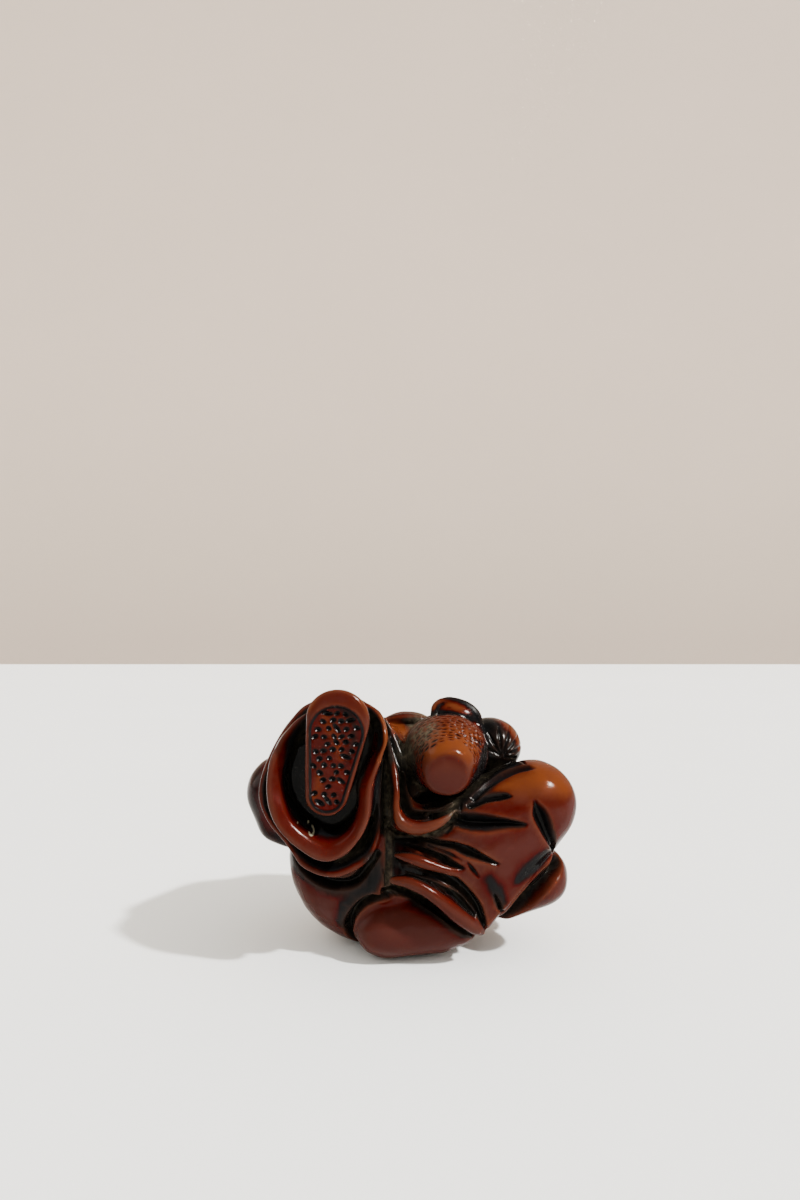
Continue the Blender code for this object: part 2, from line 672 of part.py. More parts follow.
def main():
    for obj in list(bpy.data.objects):
        bpy.data.objects.remove(obj)
    netsuke = new_collection("netsuke")
    cutters = new_collection("cutters")
    bm = bmesh.new()
    add_body(bm)
    add_leg(bm)
    add_shoe(bm)
    add_knee_and_drape(bm)
    add_lap_folds(bm)
    add_head(bm)
    add_collars(bm)
    add_shoulders(bm)
    figure = new_object("netsuke_figure", bm, netsuke)
    fuse(figure)
    carve(figure.data)
    thin_out(figure)
    bore_cord_channel(figure, cutters)
    stand_it(figure)
    figure.data.shade_smooth()
    figure.data.set_sharp_from_angle(angle=math.radians(50))
    figure.data.materials.append(stained_wood())


main()
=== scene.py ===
"""The finished look of the netsuke: the carving at full fineness, with its dots, pleats, stain and wear.

Forms are drawn in millimetres: x to the right, y into the depth, z up, with the viewer at -y. They are set
in metres on the frame's own box at the end.
"""
import math
from contextlib import contextmanager
from functools import partial

import bmesh
import bpy
import numpy as np
from mathutils import Matrix, Vector
from mathutils.bvhtree import BVHTree


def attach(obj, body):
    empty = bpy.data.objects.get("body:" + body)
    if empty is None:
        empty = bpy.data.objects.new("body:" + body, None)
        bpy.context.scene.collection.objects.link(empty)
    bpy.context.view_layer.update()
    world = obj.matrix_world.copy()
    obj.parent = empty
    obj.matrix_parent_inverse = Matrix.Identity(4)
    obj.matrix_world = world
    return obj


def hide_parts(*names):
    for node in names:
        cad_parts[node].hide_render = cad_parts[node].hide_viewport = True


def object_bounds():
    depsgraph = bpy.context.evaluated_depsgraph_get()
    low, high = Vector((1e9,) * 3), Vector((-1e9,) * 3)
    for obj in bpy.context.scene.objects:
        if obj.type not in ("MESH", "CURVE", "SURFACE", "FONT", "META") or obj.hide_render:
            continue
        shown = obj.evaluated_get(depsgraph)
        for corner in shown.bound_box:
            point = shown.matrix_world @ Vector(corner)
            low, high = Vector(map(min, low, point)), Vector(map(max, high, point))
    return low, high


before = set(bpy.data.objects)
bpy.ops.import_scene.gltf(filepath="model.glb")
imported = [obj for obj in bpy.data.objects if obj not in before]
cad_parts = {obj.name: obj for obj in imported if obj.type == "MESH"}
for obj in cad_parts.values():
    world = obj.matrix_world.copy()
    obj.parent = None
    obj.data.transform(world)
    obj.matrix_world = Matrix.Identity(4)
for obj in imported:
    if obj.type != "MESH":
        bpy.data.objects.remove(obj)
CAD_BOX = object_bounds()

# Driving sizes, in millimetres.
SCALE = 1.0  # whole carving, 1.0 is 39 mm wide
GRAIN = 0.15  # grid on which the rough forms are fused
BROAD_TRIANGLES = 235000  # faces left once the broad forms are thinned
TRIANGLES = 164000  # faces left once the marked areas are thinned too
LONGEST_EDGE = 0.62  # edges of the skin over this are halved
FLAT_CUT = 0.45  # height taken off the underside, so that it stands
CORD_HOLE = 1.6  # radius of the cord channel
CORD_HEIGHT = 12.0  # z of its middle
CORD_GRAIN = 0.2  # grid on which its cutter is fused

TOE = (-8.2, 29.45, 3.45)  # x, z and radius of the round toe of the shoe
HEEL = (-9.4, 21.5, 2.35)  # the same of its heel
SOLE_FACE = -12.6  # y of the foremost face of the shoe
SOLE_RIM = 0.4  # width of the raised border around the sole
SOLE_DROP = 1.3  # how far the sunk field stays below the toe
SOLE_DEPTH = 0.62  # of the sunk field
SOLE_STEP = 0.35  # width of the step down to it
SOLE_THICK = 1.2  # nothing further from its face than this belongs to the sole

HEAD = (3.7, 23.7)  # x and z of the middle of the head, seen from the front
CROWN_FACE = -10.45  # the bare crown is worn flat here
CROWN_TILT = 0.2  # how much the flat leans down towards the chin
CROWN_EDGE = 0.14  # how softly the flat starts
CROWN_SPREAD = 3.6  # how far the flat reaches from the middle
COLLAR_LIP = 0.42  # radius of the rolled edge of the standing collar
BAND_EDGE = 0.38  # radius of the inner edge of the collar band

# Grooves on the front: how deep each goes, then (x, z, half width) along it.
FRONT_GROOVES = {
    "wide fold of the lap": (1.25, [
        (4.4, 18.0, 0.8), (5.8, 17.9, 1.15), (7.7, 17.7, 1.15), (9.7, 17.6, 0.8), (12.6, 17.4, 0.15)]),
    "fold over the knee": (0.5, [
        (6.9, 20.0, 0.5), (9.0, 21.5, 0.6), (11.6, 22.7, 0.6), (13.2, 23.1, 0.5), (14.0, 23.1, 0.15)]),
    "fold under the knee": (0.6, [
        (6.4, 19.3, 0.45), (8.1, 20.0, 0.5), (9.6, 20.3, 0.5), (10.5, 20.4, 0.35), (11.1, 20.4, 0.1)]),
    "fold at the side of the knee": (1.0, [
        (13.6, 19.9, 0.3), (14.1, 18.6, 0.95), (14.9, 16.8, 0.85), (16.3, 13.4, 0.3)]),
    "middle fold of the lap": (1.1, [
        (0.6, 15.5, 0.25), (2.7, 15.3, 0.4), (4.6, 15.0, 0.55), (6.6, 14.3, 0.62), (9.5, 13.1, 0.12)]),
    "thin fold of the lap": (0.9, [
        (-0.6, 14.6, 0.2), (2.2, 14.0, 0.38), (3.9, 13.3, 0.42), (5.6, 12.6, 0.15)]),
    "short fold": (0.4, [(6.0, 13.3, 0.15), (6.6, 12.5, 0.28), (7.3, 11.6, 0.12)]),
    "long fold": (1.2, [
        (-1.6, 13.1, 0.3), (0.6, 12.8, 0.4), (2.7, 12.2, 0.5), (4.6, 11.0, 0.65), (6.0, 9.5, 0.72),
        (7.2, 7.9, 0.55), (8.2, 5.4, 0.25)]),
    "fold inside the long one": (0.8, [
        (-0.4, 12.0, 0.15), (2.7, 10.7, 0.3), (4.4, 9.7, 0.36), (5.8, 8.4, 0.36), (6.9, 7.2, 0.2)]),
    "gap under the thick fold": (1.4, [
        (-3.2, 9.6, 0.6), (-1.2, 9.5, 0.8), (0.6, 8.9, 0.9), (2.3, 7.8, 0.85), (4.3, 6.4, 0.75),
        (6.9, 4.2, 0.35)]),
    "edge of the lobe": (1.2, [
        (-6.4, 1.3, 0.3), (-7.3, 2.8, 0.5), (-7.5, 4.6, 0.6), (-6.6, 6.9, 0.6), (-4.9, 8.4, 0.6),
        (-2.6, 9.0, 0.55)]),
    "notch in the hem": (1.0, [(9.1, 9.5, 0.12), (9.6, 8.3, 0.25), (10.1, 6.9, 0.32)]),
    "gap behind the collar band": (1.2, [
        (-1.2, 22.6, 0.3), (-1.1, 21.4, 0.45), (-1.0, 20.1, 0.55), (-0.5, 18.9, 0.58), (0.6, 18.4, 0.5),
        (2.0, 18.5, 0.45), (3.4, 19.1, 0.4), (4.4, 19.6, 0.2)]),
    "hollow round the head": (1.6, [
        (-0.2, 22.8, 0.6), (0.0, 21.2, 0.8), (0.8, 20.0, 0.8), (2.4, 19.6, 0.7), (4.2, 20.1, 0.6),
        (7.4, 21.6, 0.4)]),
    "crease under the collar band": (0.9, [
        (-2.9, 20.5, 0.35), (-2.7, 18.4, 0.45), (-2.4, 16.6, 0.5), (-1.2, 15.9, 0.5), (0.6, 15.9, 0.45),
        (2.4, 16.5, 0.4), (4.2, 17.6, 0.4)]),
    "gap behind the hem of the drape": (2.2, [
        (17.6, 14.0, 0.35), (16.7, 12.1, 0.8), (15.2, 10.9, 1.0), (13.8, 9.3, 1.1), (12.4, 7.5, 1.1),
        (10.0, 5.2, 0.6)]),
    "gap under the outer hem": (1.1, [
        (-15.0, 12.9, 0.3), (-13.2, 11.2, 0.6), (-11.0, 10.2, 0.75), (-8.6, 10.0, 0.75), (-6.4, 10.8, 0.7),
        (-4.0, 14.0, 0.4)]),
    "crease between leg and lap": (0.7, [
        (-3.3, 25.0, 0.4), (-3.1, 20.0, 0.45), (-2.8, 16.2, 0.5), (-2.7, 13.0, 0.5), (-3.0, 10.4, 0.3)]),
}

# Folds of the back, which spread from behind the right shoulder.
BACK_GROOVES = {
    "highest fold": (0.7, [(8.5, 20.5, 0.3), (3.0, 18.6, 1.0), (-4.0, 18.4, 1.0), (-11.0, 20.5, 0.3)]),
    "upper fold": (0.8, [(9.0, 18.6, 0.3), (3.0, 15.6, 1.0), (-4.0, 13.9, 1.2), (-12.0, 14.2, 0.3)]),
    "lower fold": (0.8, [(9.6, 16.5, 0.3), (5.0, 10.4, 1.0), (-1.5, 7.8, 1.2), (-9.0, 7.4, 0.3)]),
    "lowest fold": (0.6, [(10.6, 13.6, 0.3), (8.0, 8.4, 0.8), (3.0, 4.8, 0.8), (-3.0, 3.6, 0.3)]),
}

# How far a surface may turn away from the front (-1) or the back (1) and still be cut.
FACING = {-1: -0.25, 1: -0.1}

# Finer relief, in millimetres.
DOT_PITCH = 0.98  # from one punch mark of the sole to the next
DOT_STRAY = 0.13  # how far a mark may lie off its place
DOT_MISSED = 0.08  # share of the marks left out
DOT_JOINED = 0.15  # share of them run together
JOINED_LONGER = 0.26  # half length that such a mark gains
DOT_LONG, DOT_SHORT, DOT_DEPTH = (0.33, 0.45), (0.27, 0.34), (0.2, 0.32)  # from least to most
DASH_PITCH = 0.95  # from one dash of the hair to the next
DASH_RING = 5.4  # degrees from one ring of dashes to the next
DASH_SIZE = (0.40, 0.14, 0.12)  # half length, half width and depth
HAIR_REACH = (26, 126)  # degrees from the middle of the crown to the first ring and past the last
HAIR_MIDDLE = (3.8, -4.8, 24.1)  # the rings of dashes run round this point of the head
HAIR_RADIUS = 5.4  # of the head there
HAIR_OUTSIDE = 6.2  # what lies further from that point carries no dashes
PLEAT_MIDDLE = (10.6, 23.9)  # the pleats fan out from this x and z
UNEVEN = 0.035  # height of the slow waves of the surface
FULL_DEPTH = 0.7  # a groove this deep is full of stain
EDGE_HEIGHT = 0.10  # an edge this proud of its surroundings is fully worn

# More grooves of the front, too fine for the solid: depth, then (x, z, half width) along them.
FINE_GROOVES = [
    (0.35, [(-6.0, 16.4, 0.12), (-5.2, 17.0, 0.3), (-4.6, 17.3, 0.15)]),
    (0.25, [(-2.6, 15.2, 0.15), (-0.8, 15.2, 0.2), (1.2, 15.3, 0.12)]),
    (0.25, [(-3.4, 12.2, 0.12), (-2.9, 10.6, 0.18), (-3.1, 9.2, 0.12)]),
    (0.3, [(1.6, 14.9, 0.12), (3.6, 14.3, 0.2), (5.4, 13.5, 0.1)]),
    (0.25, [(3.6, 16.4, 0.12), (4.4, 17.4, 0.2), (4.9, 18.4, 0.12)]),
    (0.25, [(4.6, 17.0, 0.12), (5.2, 18.2, 0.2), (5.4, 19.4, 0.12)]),
]

# Darker patches of stain, and painted shade on the lower right of the knee, by how near to the viewer
# they may lie, as y. Each has its strength, then (x, z, half width) along it.
ANYWHERE = -99.0
STAIN_AND_SHADE_STROKES = {
    ANYWHERE: [
        # the drape, along its hem, and the gap under the thick fold
        (0.9, (8.4, 11.4, 0.8), (9.3, 10.0, 1.0), (9.9, 8.6, 0.8)),
        (0.95, (11.6, 10.9, 0.6), (12.8, 12.0, 1.2), (14.4, 13.0, 1.2), (16.2, 14.0, 0.7)),
        (1.0, (0.0, 8.4, 0.6), (1.4, 8.0, 1.0), (2.8, 7.2, 1.0), (4.6, 5.6, 0.8), (5.8, 4.4, 0.5)),
        # under the outer hem, painted shade beside the knee, on the sole, and left of the lobe
        (0.9, (-15.4, 12.4, 1.0), (-12.6, 10.4, 1.2), (-9.4, 9.6, 1.3), (-6.6, 10.2, 1.2),
            (-4.6, 11.8, 1.2)),
        (0.3, (19.4, 20.6, 1.0), (18.9, 18.2, 1.6), (18.0, 16.0, 1.4)),
        (0.5, (-8.4, 31.0, 0.6), (-6.9, 30.2, 0.8), (-6.4, 28.4, 0.7), (-6.8, 26.2, 0.7),
            (-7.4, 24.4, 0.5)),
        (0.85, (-4.6, 13.6, 1.3), (-4.4, 11.4, 1.5), (-5.6, 9.4, 1.3), (-7.8, 7.2, 1.0), (-8.2, 4.8, 0.9)),
        # in the folds of the knee
        (0.8, (4.8, 17.9, 0.9), (7.6, 17.7, 1.2), (10.0, 17.6, 0.9), (12.4, 17.4, 0.4)),
        (0.7, (6.0, 20.2, 0.8), (9.0, 21.6, 0.6), (11.6, 22.7, 0.5), (13.4, 23.1, 0.4)),
        (0.8, (6.4, 19.3, 0.6), (8.6, 20.2, 0.6), (10.6, 20.4, 0.5)),
        (0.85, (13.9, 19.4, 0.7), (14.6, 17.8, 1.0), (15.6, 15.6, 0.8), (16.4, 13.6, 0.6)),
        # round the head, and between the collar band and the leg
        (0.9, (-0.6, 24.8, 1.0), (-0.6, 22.8, 1.1), (0.4, 20.8, 1.0)),
        (0.9, (8.4, 25.6, 0.5), (8.0, 24.2, 0.9), (7.3, 22.6, 1.0), (6.4, 21.0, 0.9)),
        (0.8, (-2.9, 25.0, 0.5), (-2.8, 22.5, 0.7), (-2.8, 20.5, 0.7), (-2.7, 18.0, 0.5)),
        # the third layer of cloth and the outer hem
        (0.55, (-18.6, 21.6, 1.4), (-19.0, 18.0, 2.0), (-17.6, 14.0, 1.8), (-15.6, 12.4, 1.0)),
        (0.7, (-16.6, 14.6, 0.7), (-14.4, 12.6, 0.9), (-12.2, 11.0, 0.9), (-9.2, 10.3, 0.8),
            (-6.6, 11.0, 0.8), (-4.4, 13.6, 0.7)),
    ],
    -9.2: [
        # inside the inner hem
        (1.0, (-11.6, 28.4, 1.4), (-13.0, 25.0, 1.9), (-13.0, 21.6, 2.0), (-11.0, 18.8, 1.6),
            (-8.6, 18.2, 1.6)),
        (1.0, (-6.0, 20.2, 1.4), (-5.6, 23.0, 1.2), (-5.2, 26.2, 1.0)),
    ],
    -4.6: [
        # under the nape, on the gathered cloth, and round the far shoulder
        (1.0, (2.4, 28.7, 0.5), (4.2, 28.9, 0.45), (6.2, 28.5, 0.4), (7.2, 28.2, 0.4)),
        (1.0, (9.0, 27.4, 1.2), (10.0, 26.2, 2.0), (10.8, 24.4, 2.6), (11.4, 22.6, 2.2)),
        (0.8, (-4.0, 25.8, 0.6), (-2.4, 26.3, 0.5), (-0.6, 26.4, 0.5), (1.4, 26.2, 0.5)),
        (0.7, (-3.4, 27.6, 0.5), (-0.8, 28.1, 0.35), (2.0, 27.7, 0.5)),
    ],
    -2.4: [
        # the standing collar
        (1.0, (3.6, 30.8, 0.35), (4.8, 30.7, 0.45), (6.3, 30.2, 0.5), (7.5, 29.3, 0.6), (8.0, 28.0, 0.6)),
    ],
}

# How hidden a place is where stain starts to collect, and over how much more it fills up: by what is
# close to it and by what lies further out. The last is for dust.
CLOSE_HOLLOW = (0.06, 0.30)
WIDE_HOLLOW = (0.10, 0.30)
DUSTY_HOLLOW = (0.42, 0.2)

# Places where the stain is so thin that the wood shows deep red. At the upper edge of the bare crown the
# deep red is painted shade.
THIN_STAIN = 0.27  # how much stain is left there
SOLE_STAIN = 0.30  # at least, in the sunk field of the sole
THIN_STAIN_AND_SHADE_STROKES = [
    # the slope of the inner hem
    (1.0, (-14.6, 26.0, 0.5), (-15.0, 22.6, 0.6), (-14.3, 19.3, 0.65), (-12.2, 16.8, 0.65),
        (-9.4, 15.7, 0.6), (-7.4, 16.4, 0.6), (-6.0, 19.0, 0.55), (-5.3, 22.4, 0.55), (-4.5, 25.4, 0.6),
        (-4.2, 27.4, 0.4)),
    # the knee, between its folds and below them
    (0.8, (13.2, 19.9, 0.4), (15.0, 19.8, 0.7), (16.6, 19.6, 0.8), (17.8, 19.4, 0.6)),
    (1.0, (8.6, 19.1, 0.35), (10.6, 19.2, 0.5), (12.8, 19.1, 0.55)),
    (0.9, (5.2, 14.9, 0.25), (7.6, 15.5, 0.4), (10.2, 16.0, 0.45), (12.6, 16.6, 0.5)),
    # the top of the round lobe, and the lobe behind the knee
    (0.8, (-4.2, 6.8, 0.4), (-2.8, 7.9, 0.55), (-1.2, 8.3, 0.5), (0.4, 7.0, 0.3)),
    (1.0, (17.5, 11.4, 0.6), (15.9, 10.2, 0.8), (14.6, 8.8, 0.9), (13.4, 7.2, 0.8), (12.6, 6.0, 0.5)),
    # the rolls of the lap
    (1.0, (-1.6, 14.1, 0.25), (0.2, 14.0, 0.4), (1.8, 13.5, 0.4), (3.5, 12.8, 0.4), (5.4, 12.1, 0.25)),
    (0.9, (-2.0, 11.6, 0.25), (-0.4, 11.5, 0.35), (1.8, 10.7, 0.4), (4.0, 9.2, 0.4), (5.6, 7.6, 0.25)),
    # the toe, and the upper edge of the bare crown, whose deep red is painted shade
    (0.8, (-11.0, 30.4, 0.3), (-9.9, 31.9, 0.35), (-8.2, 32.3, 0.4), (-6.5, 31.9, 0.35), (-5.4, 30.5, 0.3)),
    (0.95, (1.7, 24.0, 0.25), (2.5, 24.9, 0.4), (3.7, 25.25, 0.5), (4.9, 24.9, 0.4), (5.7, 24.0, 0.25)),
    # the collar band
    (1.0, (-2.25, 23.8, 0.35), (-2.05, 22.2, 0.45), (-1.95, 20.6, 0.3)),
    (0.8, (-0.7, 21.2, 0.3), (-0.2, 20.0, 0.3), (0.7, 19.45, 0.3), (1.8, 19.25, 0.28), (3.0, 19.3, 0.2)),
    (0.7, (-1.6, 19.0, 0.25), (-0.9, 18.2, 0.25), (0.3, 17.9, 0.22), (1.8, 18.0, 0.2), (3.2, 18.5, 0.15)),
]

# Places where dust has settled, and how much of it lies in every deep hollow. Beside the head the same
# pale grey is a painted sheen.
HOLLOW_DUST = 0.25
DUST_AND_SHEEN_STROKES = [
    # between leg and lap, under the collar band, and under the thick fold
    (0.8, (-2.9, 24.6, 0.3), (-2.9, 20.6, 0.35), (-2.8, 16.6, 0.5), (-2.7, 13.6, 0.45), (-2.9, 9.6, 0.35)),
    (0.8, (-2.6, 15.9, 0.5), (-1.0, 15.7, 0.4), (0.8, 15.9, 0.35), (2.4, 16.3, 0.35), (3.6, 17.2, 0.5),
        (4.6, 19.4, 0.5)),
    (0.6, (-2.0, 10.0, 0.5), (-0.4, 9.4, 0.6), (1.4, 8.4, 0.5)),
    # beside the head a painted sheen, and dust under it
    (1.0, (-0.8, 24.4, 0.9), (-0.3, 25.8, 1.1), (0.8, 27.0, 1.1), (2.2, 27.9, 0.8)),
    (0.5, (0.2, 21.6, 0.3), (1.6, 20.4, 0.3), (3.4, 20.0, 0.3), (5.0, 20.0, 0.3)),
]

# Places where handling has worn the stain to orange-brown, and lit tops painted orange-brown as light:
# strength, then (x, z, half width) along them.
WORN_AND_LIT_STROKES = [
    # the knee, whose lit top is painted light as well as worn
    (0.85, (9.6, 21.0, 1.0), (12.2, 22.4, 2.2), (14.8, 22.4, 2.3), (17.4, 20.9, 1.6)),
    # the toe, its lit top painted light as well as worn, the border and the field of the sole, and the top
    # of the hem
    (0.8, (-11.3, 30.8, 0.4), (-10.1, 32.4, 0.45), (-8.2, 33.1, 0.5), (-6.2, 32.5, 0.65),
        (-4.9, 30.9, 0.7)),
    (1.0, (-10.9, 20.9, 0.4), (-10.3, 22.3, 0.45), (-10.2, 24.0, 0.35)),
    (0.9, (-9.6, 29.9, 0.45), (-9.1, 28.6, 0.5), (-8.4, 27.4, 0.4), (-8.0, 25.4, 0.35)),
    (0.8, (-3.4, 29.2, 0.7), (-2.8, 27.0, 0.9), (-3.4, 24.8, 0.6)),
    # the head, its lit top painted light as well as worn, and the lens at the nape
    (1.0, (2.4, 26.4, 1.8), (4.6, 27.0, 2.2), (6.4, 26.0, 1.8)),
    (0.8, (2.5, 29.2, 0.4), (3.3, 29.8, 0.45), (4.4, 29.9, 0.45), (5.8, 29.4, 0.35)),
    # the lobe behind the knee, and the collar band
    (0.6, (16.6, 11.8, 0.9), (17.6, 13.0, 0.8)),
    (0.25, (-2.6, 25.4, 0.6), (-2.0, 22.2, 0.6), (-1.4, 18.0, 0.9), (0.6, 16.8, 0.9), (3.0, 17.8, 0.7)),
]

# Painted light: lit places cleared of stain even in a hollow, and how near to the viewer they may lie.
LIT_PATCH_NEAREST = -3.0
LIT_PATCH_STROKES = [
    # the lit far shoulder, and a painted highlight on the rim of the gathered cloth
    (1.0, (-2.3, 26.7, 0.5), (-1.4, 26.4, 0.8), (-0.6, 25.6, 0.7)),
    (0.75, (11.2, 27.4, 0.35), (12.1, 26.7, 0.4), (12.8, 25.4, 0.4), (13.0, 24.2, 0.3)),
]

# A pale chip in the hollow beside the shoe, open at its upper left: x, z, half width and half height as the
# viewer sees it. Specks near it: how far off, in half widths and half heights of the chip, and how wide.
VIEWER = (-1.5, -98.0, 42.5)
HOLLOW_DEPTH = -9.9  # y of the surface that carries them
HOLLOW_NEAREST = -11.3
HOLLOW_FURTHEST = -7.0
CHIP = (-11.25, 17.1, 0.27, 0.50)
SPECKS = [(-5.6, 1.7, 0.25), (-1.3, 1.9, 0.35)]

# Colours of the wood, from bare to heavily stained: the amount of stain and painted shade, then red, green
# and blue. The grey stops at 0.68 and 0.85 are a painted sheen on the dark stain.
STAIN_AND_SHEEN_COLOURS = (
    (0.0, (0.038, 0.0085, 0.0062)),
    (0.14, (0.034, 0.0052, 0.0032)),
    (0.28, (0.034, 0.0012, 0.0005)),
    (0.40, (0.020, 0.0006, 0.0004)),
    (0.52, (0.007, 0.0012, 0.0010)),
    (0.68, (0.0040, 0.0040, 0.0044)),
    (0.85, (0.0022, 0.0022, 0.0024)),
    (1.0, (0.0010, 0.0008, 0.0008)),
)
WORN_AND_LIT_COLOUR = (0.100, 0.023, 0.0042, 1)
EDGE_COLOUR = (0.12, 0.045, 0.022, 1)
DUST_AND_SHEEN_COLOUR = (0.060, 0.049, 0.032, 1)
CHIP_COLOUR = (0.17, 0.155, 0.105, 1)
CLOUDS = (420, 0.30)  # slow clouds in the stain: how many to a metre, and how strong
FLECKS = (1900, 0.12)
FLOOR_COLOUR = (0.90, 0.91, 0.905)
BACKDROP_COLOUR = (0.72, 0.58, 0.47)

# Light: the lamp, where it comes from, the ceiling and the walls, and how much of those two the polish shows.
LAMP_LIGHT = 7.4
LAMP_FROM = (0.87, -0.50, 1.0)
LAMP_WIDTH = 2.8  # degrees
LAMP_COLOUR = (1.0, 0.985, 0.96)
ROOM_COLOUR = (1.0, 0.97, 0.89, 1)
CEILING_LIGHT = 2.1
WALL_LIGHT = 0.35
SHINE = 0.2
# Seen only in the polish: direction, how near to it the patch starts and is full, as a cosine, and strength.
WINDOW_PATCH = ((-0.86, 0.19, 0.48), 0.84, 0.96, 6.0)
LAMP_PATCH = (LAMP_FROM, 0.985, 0.998, 300.0)

# Camera, in metres: level, at the height of a face close over the table.
CAMERA_AWAY = 0.0986
CAMERA_HEIGHT = 0.0417
CAMERA_X = -0.00095
LENS = 24  # millimetres, on a film 36 mm wide


# ---- tools ----


def add_object(name, data):
    obj = bpy.data.objects.new(name, data)
    bpy.context.scene.collection.objects.link(obj)
    return obj


def finished_mesh(obj):
    """A new mesh of the object with its modifiers."""
    graph = bpy.context.evaluated_depsgraph_get()
    return bpy.data.meshes.new_from_object(obj.evaluated_get(graph))


def apply_modifiers(obj):
    mesh = finished_mesh(obj)
    obj.modifiers.clear()
    old = obj.data
    obj.data = mesh
    bpy.data.meshes.remove(old)


@contextmanager
def editing(mesh):
    """The mesh opened for editing, and written back at the end."""
    bm = bmesh.new()
    bm.from_mesh(mesh)
    yield bm
    bm.to_mesh(mesh)
    bm.free()


def skin_tree(mesh):
    """The skin of the mesh, ready for rays and nearest points."""
    bm = bmesh.new()
    bm.from_mesh(mesh)
    tree = BVHTree.FromBMesh(bm)
    bm.free()
    return tree


def numbers_of(mesh, name):
    """The coordinates or the normals of the vertices, in rows."""
    rows = np.empty(len(mesh.vertices) * 3)
    mesh.vertices.foreach_get(name, rows)
    return rows.reshape(-1, 3)


def points_of(mesh):
    return numbers_of(mesh, "co")


def set_points(mesh, points):
    mesh.vertices.foreach_set("co", np.ascontiguousarray(points).ravel())
    mesh.update()


def neighbour_mean(mesh, values):
    """Each vertex's mean over the vertices it shares an edge with."""
    ends = np.empty(len(mesh.edges) * 2, int)
    mesh.edges.foreach_get("vertices", ends)
    first, second = ends.reshape(-1, 2).T
    count = len(values)
    total = np.empty_like(values)
    for k in range(values.shape[1]):
        total[:, k] = np.bincount(first, values[second, k], count)
        total[:, k] += np.bincount(second, values[first, k], count)
    return total / np.bincount(ends, minlength=count)[:, None]


def softened(mesh, rows, rounds):
    """Rows of numbers at the vertices, each drawn towards those around it."""
    for _ in range(rounds):
        rows = 0.5 * rows + 0.5 * neighbour_mean(mesh, rows)
    return rows


def spread(mesh, values, rounds):
    return softened(mesh, values[:, None], rounds)[:, 0]


def relax(mesh, rounds):
    set_points(mesh, softened(mesh, points_of(mesh), rounds))


def broad_normals(mesh, rounds):
    """Normals that follow the large forms and not each facet."""
    normals = softened(mesh, numbers_of(mesh, "normal"), rounds)
    return normals / np.maximum(np.linalg.norm(normals, axis=1), 1e-6)[:, None]


def store(mesh, name, values):
    attribute = mesh.attributes.new(name, "FLOAT", "POINT")
    attribute.data.foreach_set("value", np.ascontiguousarray(values, np.float32))


def stored(mesh, name):
    values = np.empty(len(mesh.vertices), np.float32)
    mesh.attributes[name].data.foreach_get("value", values)
    return values.astype(float)


def ramp(values, start, width):
    """0 up to the start, then rising evenly to 1 over the width."""
    return np.clip((values - start) / width, 0, 1)


def smooth_line(points, steps, closed=False):
    """A Catmull-Rom line through the points, of any number of columns."""
    given = np.array(points, float)
    before, after = 2 * given[:1] - given[1:2], 2 * given[-1:] - given[-2:-1]
    if closed:
        before, after = given[-1:], given[:2]
    whole = np.concatenate([before, given, after])
    made = []
    for a, b, c, d in zip(whole, whole[1:], whole[2:], whole[3:]):
        for t in np.arange(steps) / steps:
            bend = (2 * a - 5 * b + 4 * c - d) * t**2
            twist = (3 * b - a - 3 * c + d) * t**3
            made.append(0.5 * (2 * b + (c - a) * t + bend + twist))
    if not closed:
        made.append(given[-1])
    return np.array(made)


def ball(bm, centre, radii, around=44):
    """A ball, or an ellipsoid if it has three radii."""
    if isinstance(radii, (int, float)):
        radii = (radii, radii, radii)
    place = Matrix.Translation(centre) @ Matrix.Diagonal((*radii, 1))
    bmesh.ops.create_uvsphere(bm, u_segments=around, v_segments=around // 2, radius=1, matrix=place)


def hull(bm, *balls):
    """The skin stretched over some ellipsoids, each a centre and its radii."""
    piece = bmesh.new()
    for centre, radii in balls:
        ball(piece, centre, radii)
    found = bmesh.ops.convex_hull(piece, input=piece.verts)
    inner = found["geom_interior"] + found["geom_unused"]
    loose = {v for v in inner if isinstance(v, bmesh.types.BMVert)}
    bmesh.ops.delete(piece, geom=list(loose), context="VERTS")
    append(bm, piece)


def append(bm, piece):
    """Adds a piece's skin to the others."""
    mesh = bpy.data.meshes.new("piece")
    piece.to_mesh(mesh)
    piece.free()
    bm.from_mesh(mesh)
    bpy.data.meshes.remove(mesh)


def strand(bm, points, steps=8):
    """A round roll of cloth with rounded ends, through (x, y, z, radius) points."""
    line = smooth_line(points, steps)
    curve = bpy.data.curves.new("strand", "CURVE")
    curve.dimensions = "3D"
    curve.bevel_depth = 1.0
    curve.bevel_resolution = 3
    curve.use_fill_caps = True
    spline = curve.splines.new("POLY")
    spline.points.add(len(line) - 1)
    for point, (x, y, z, radius) in zip(spline.points, line):
        point.co = (x, y, z, 1)
        point.radius = radius
    obj = add_object("strand", curve)
    mesh = finished_mesh(obj)
    piece = bmesh.new()
    piece.from_mesh(mesh)
    bmesh.ops.remove_doubles(piece, verts=piece.verts, dist=1e-4)
    for x, y, z, radius in (line[0], line[-1]):
        ball(piece, (x, y, z), radius, around=12)
    append(bm, piece)
    bpy.data.meshes.remove(mesh)
    bpy.data.objects.remove(obj)
    bpy.data.curves.remove(curve)


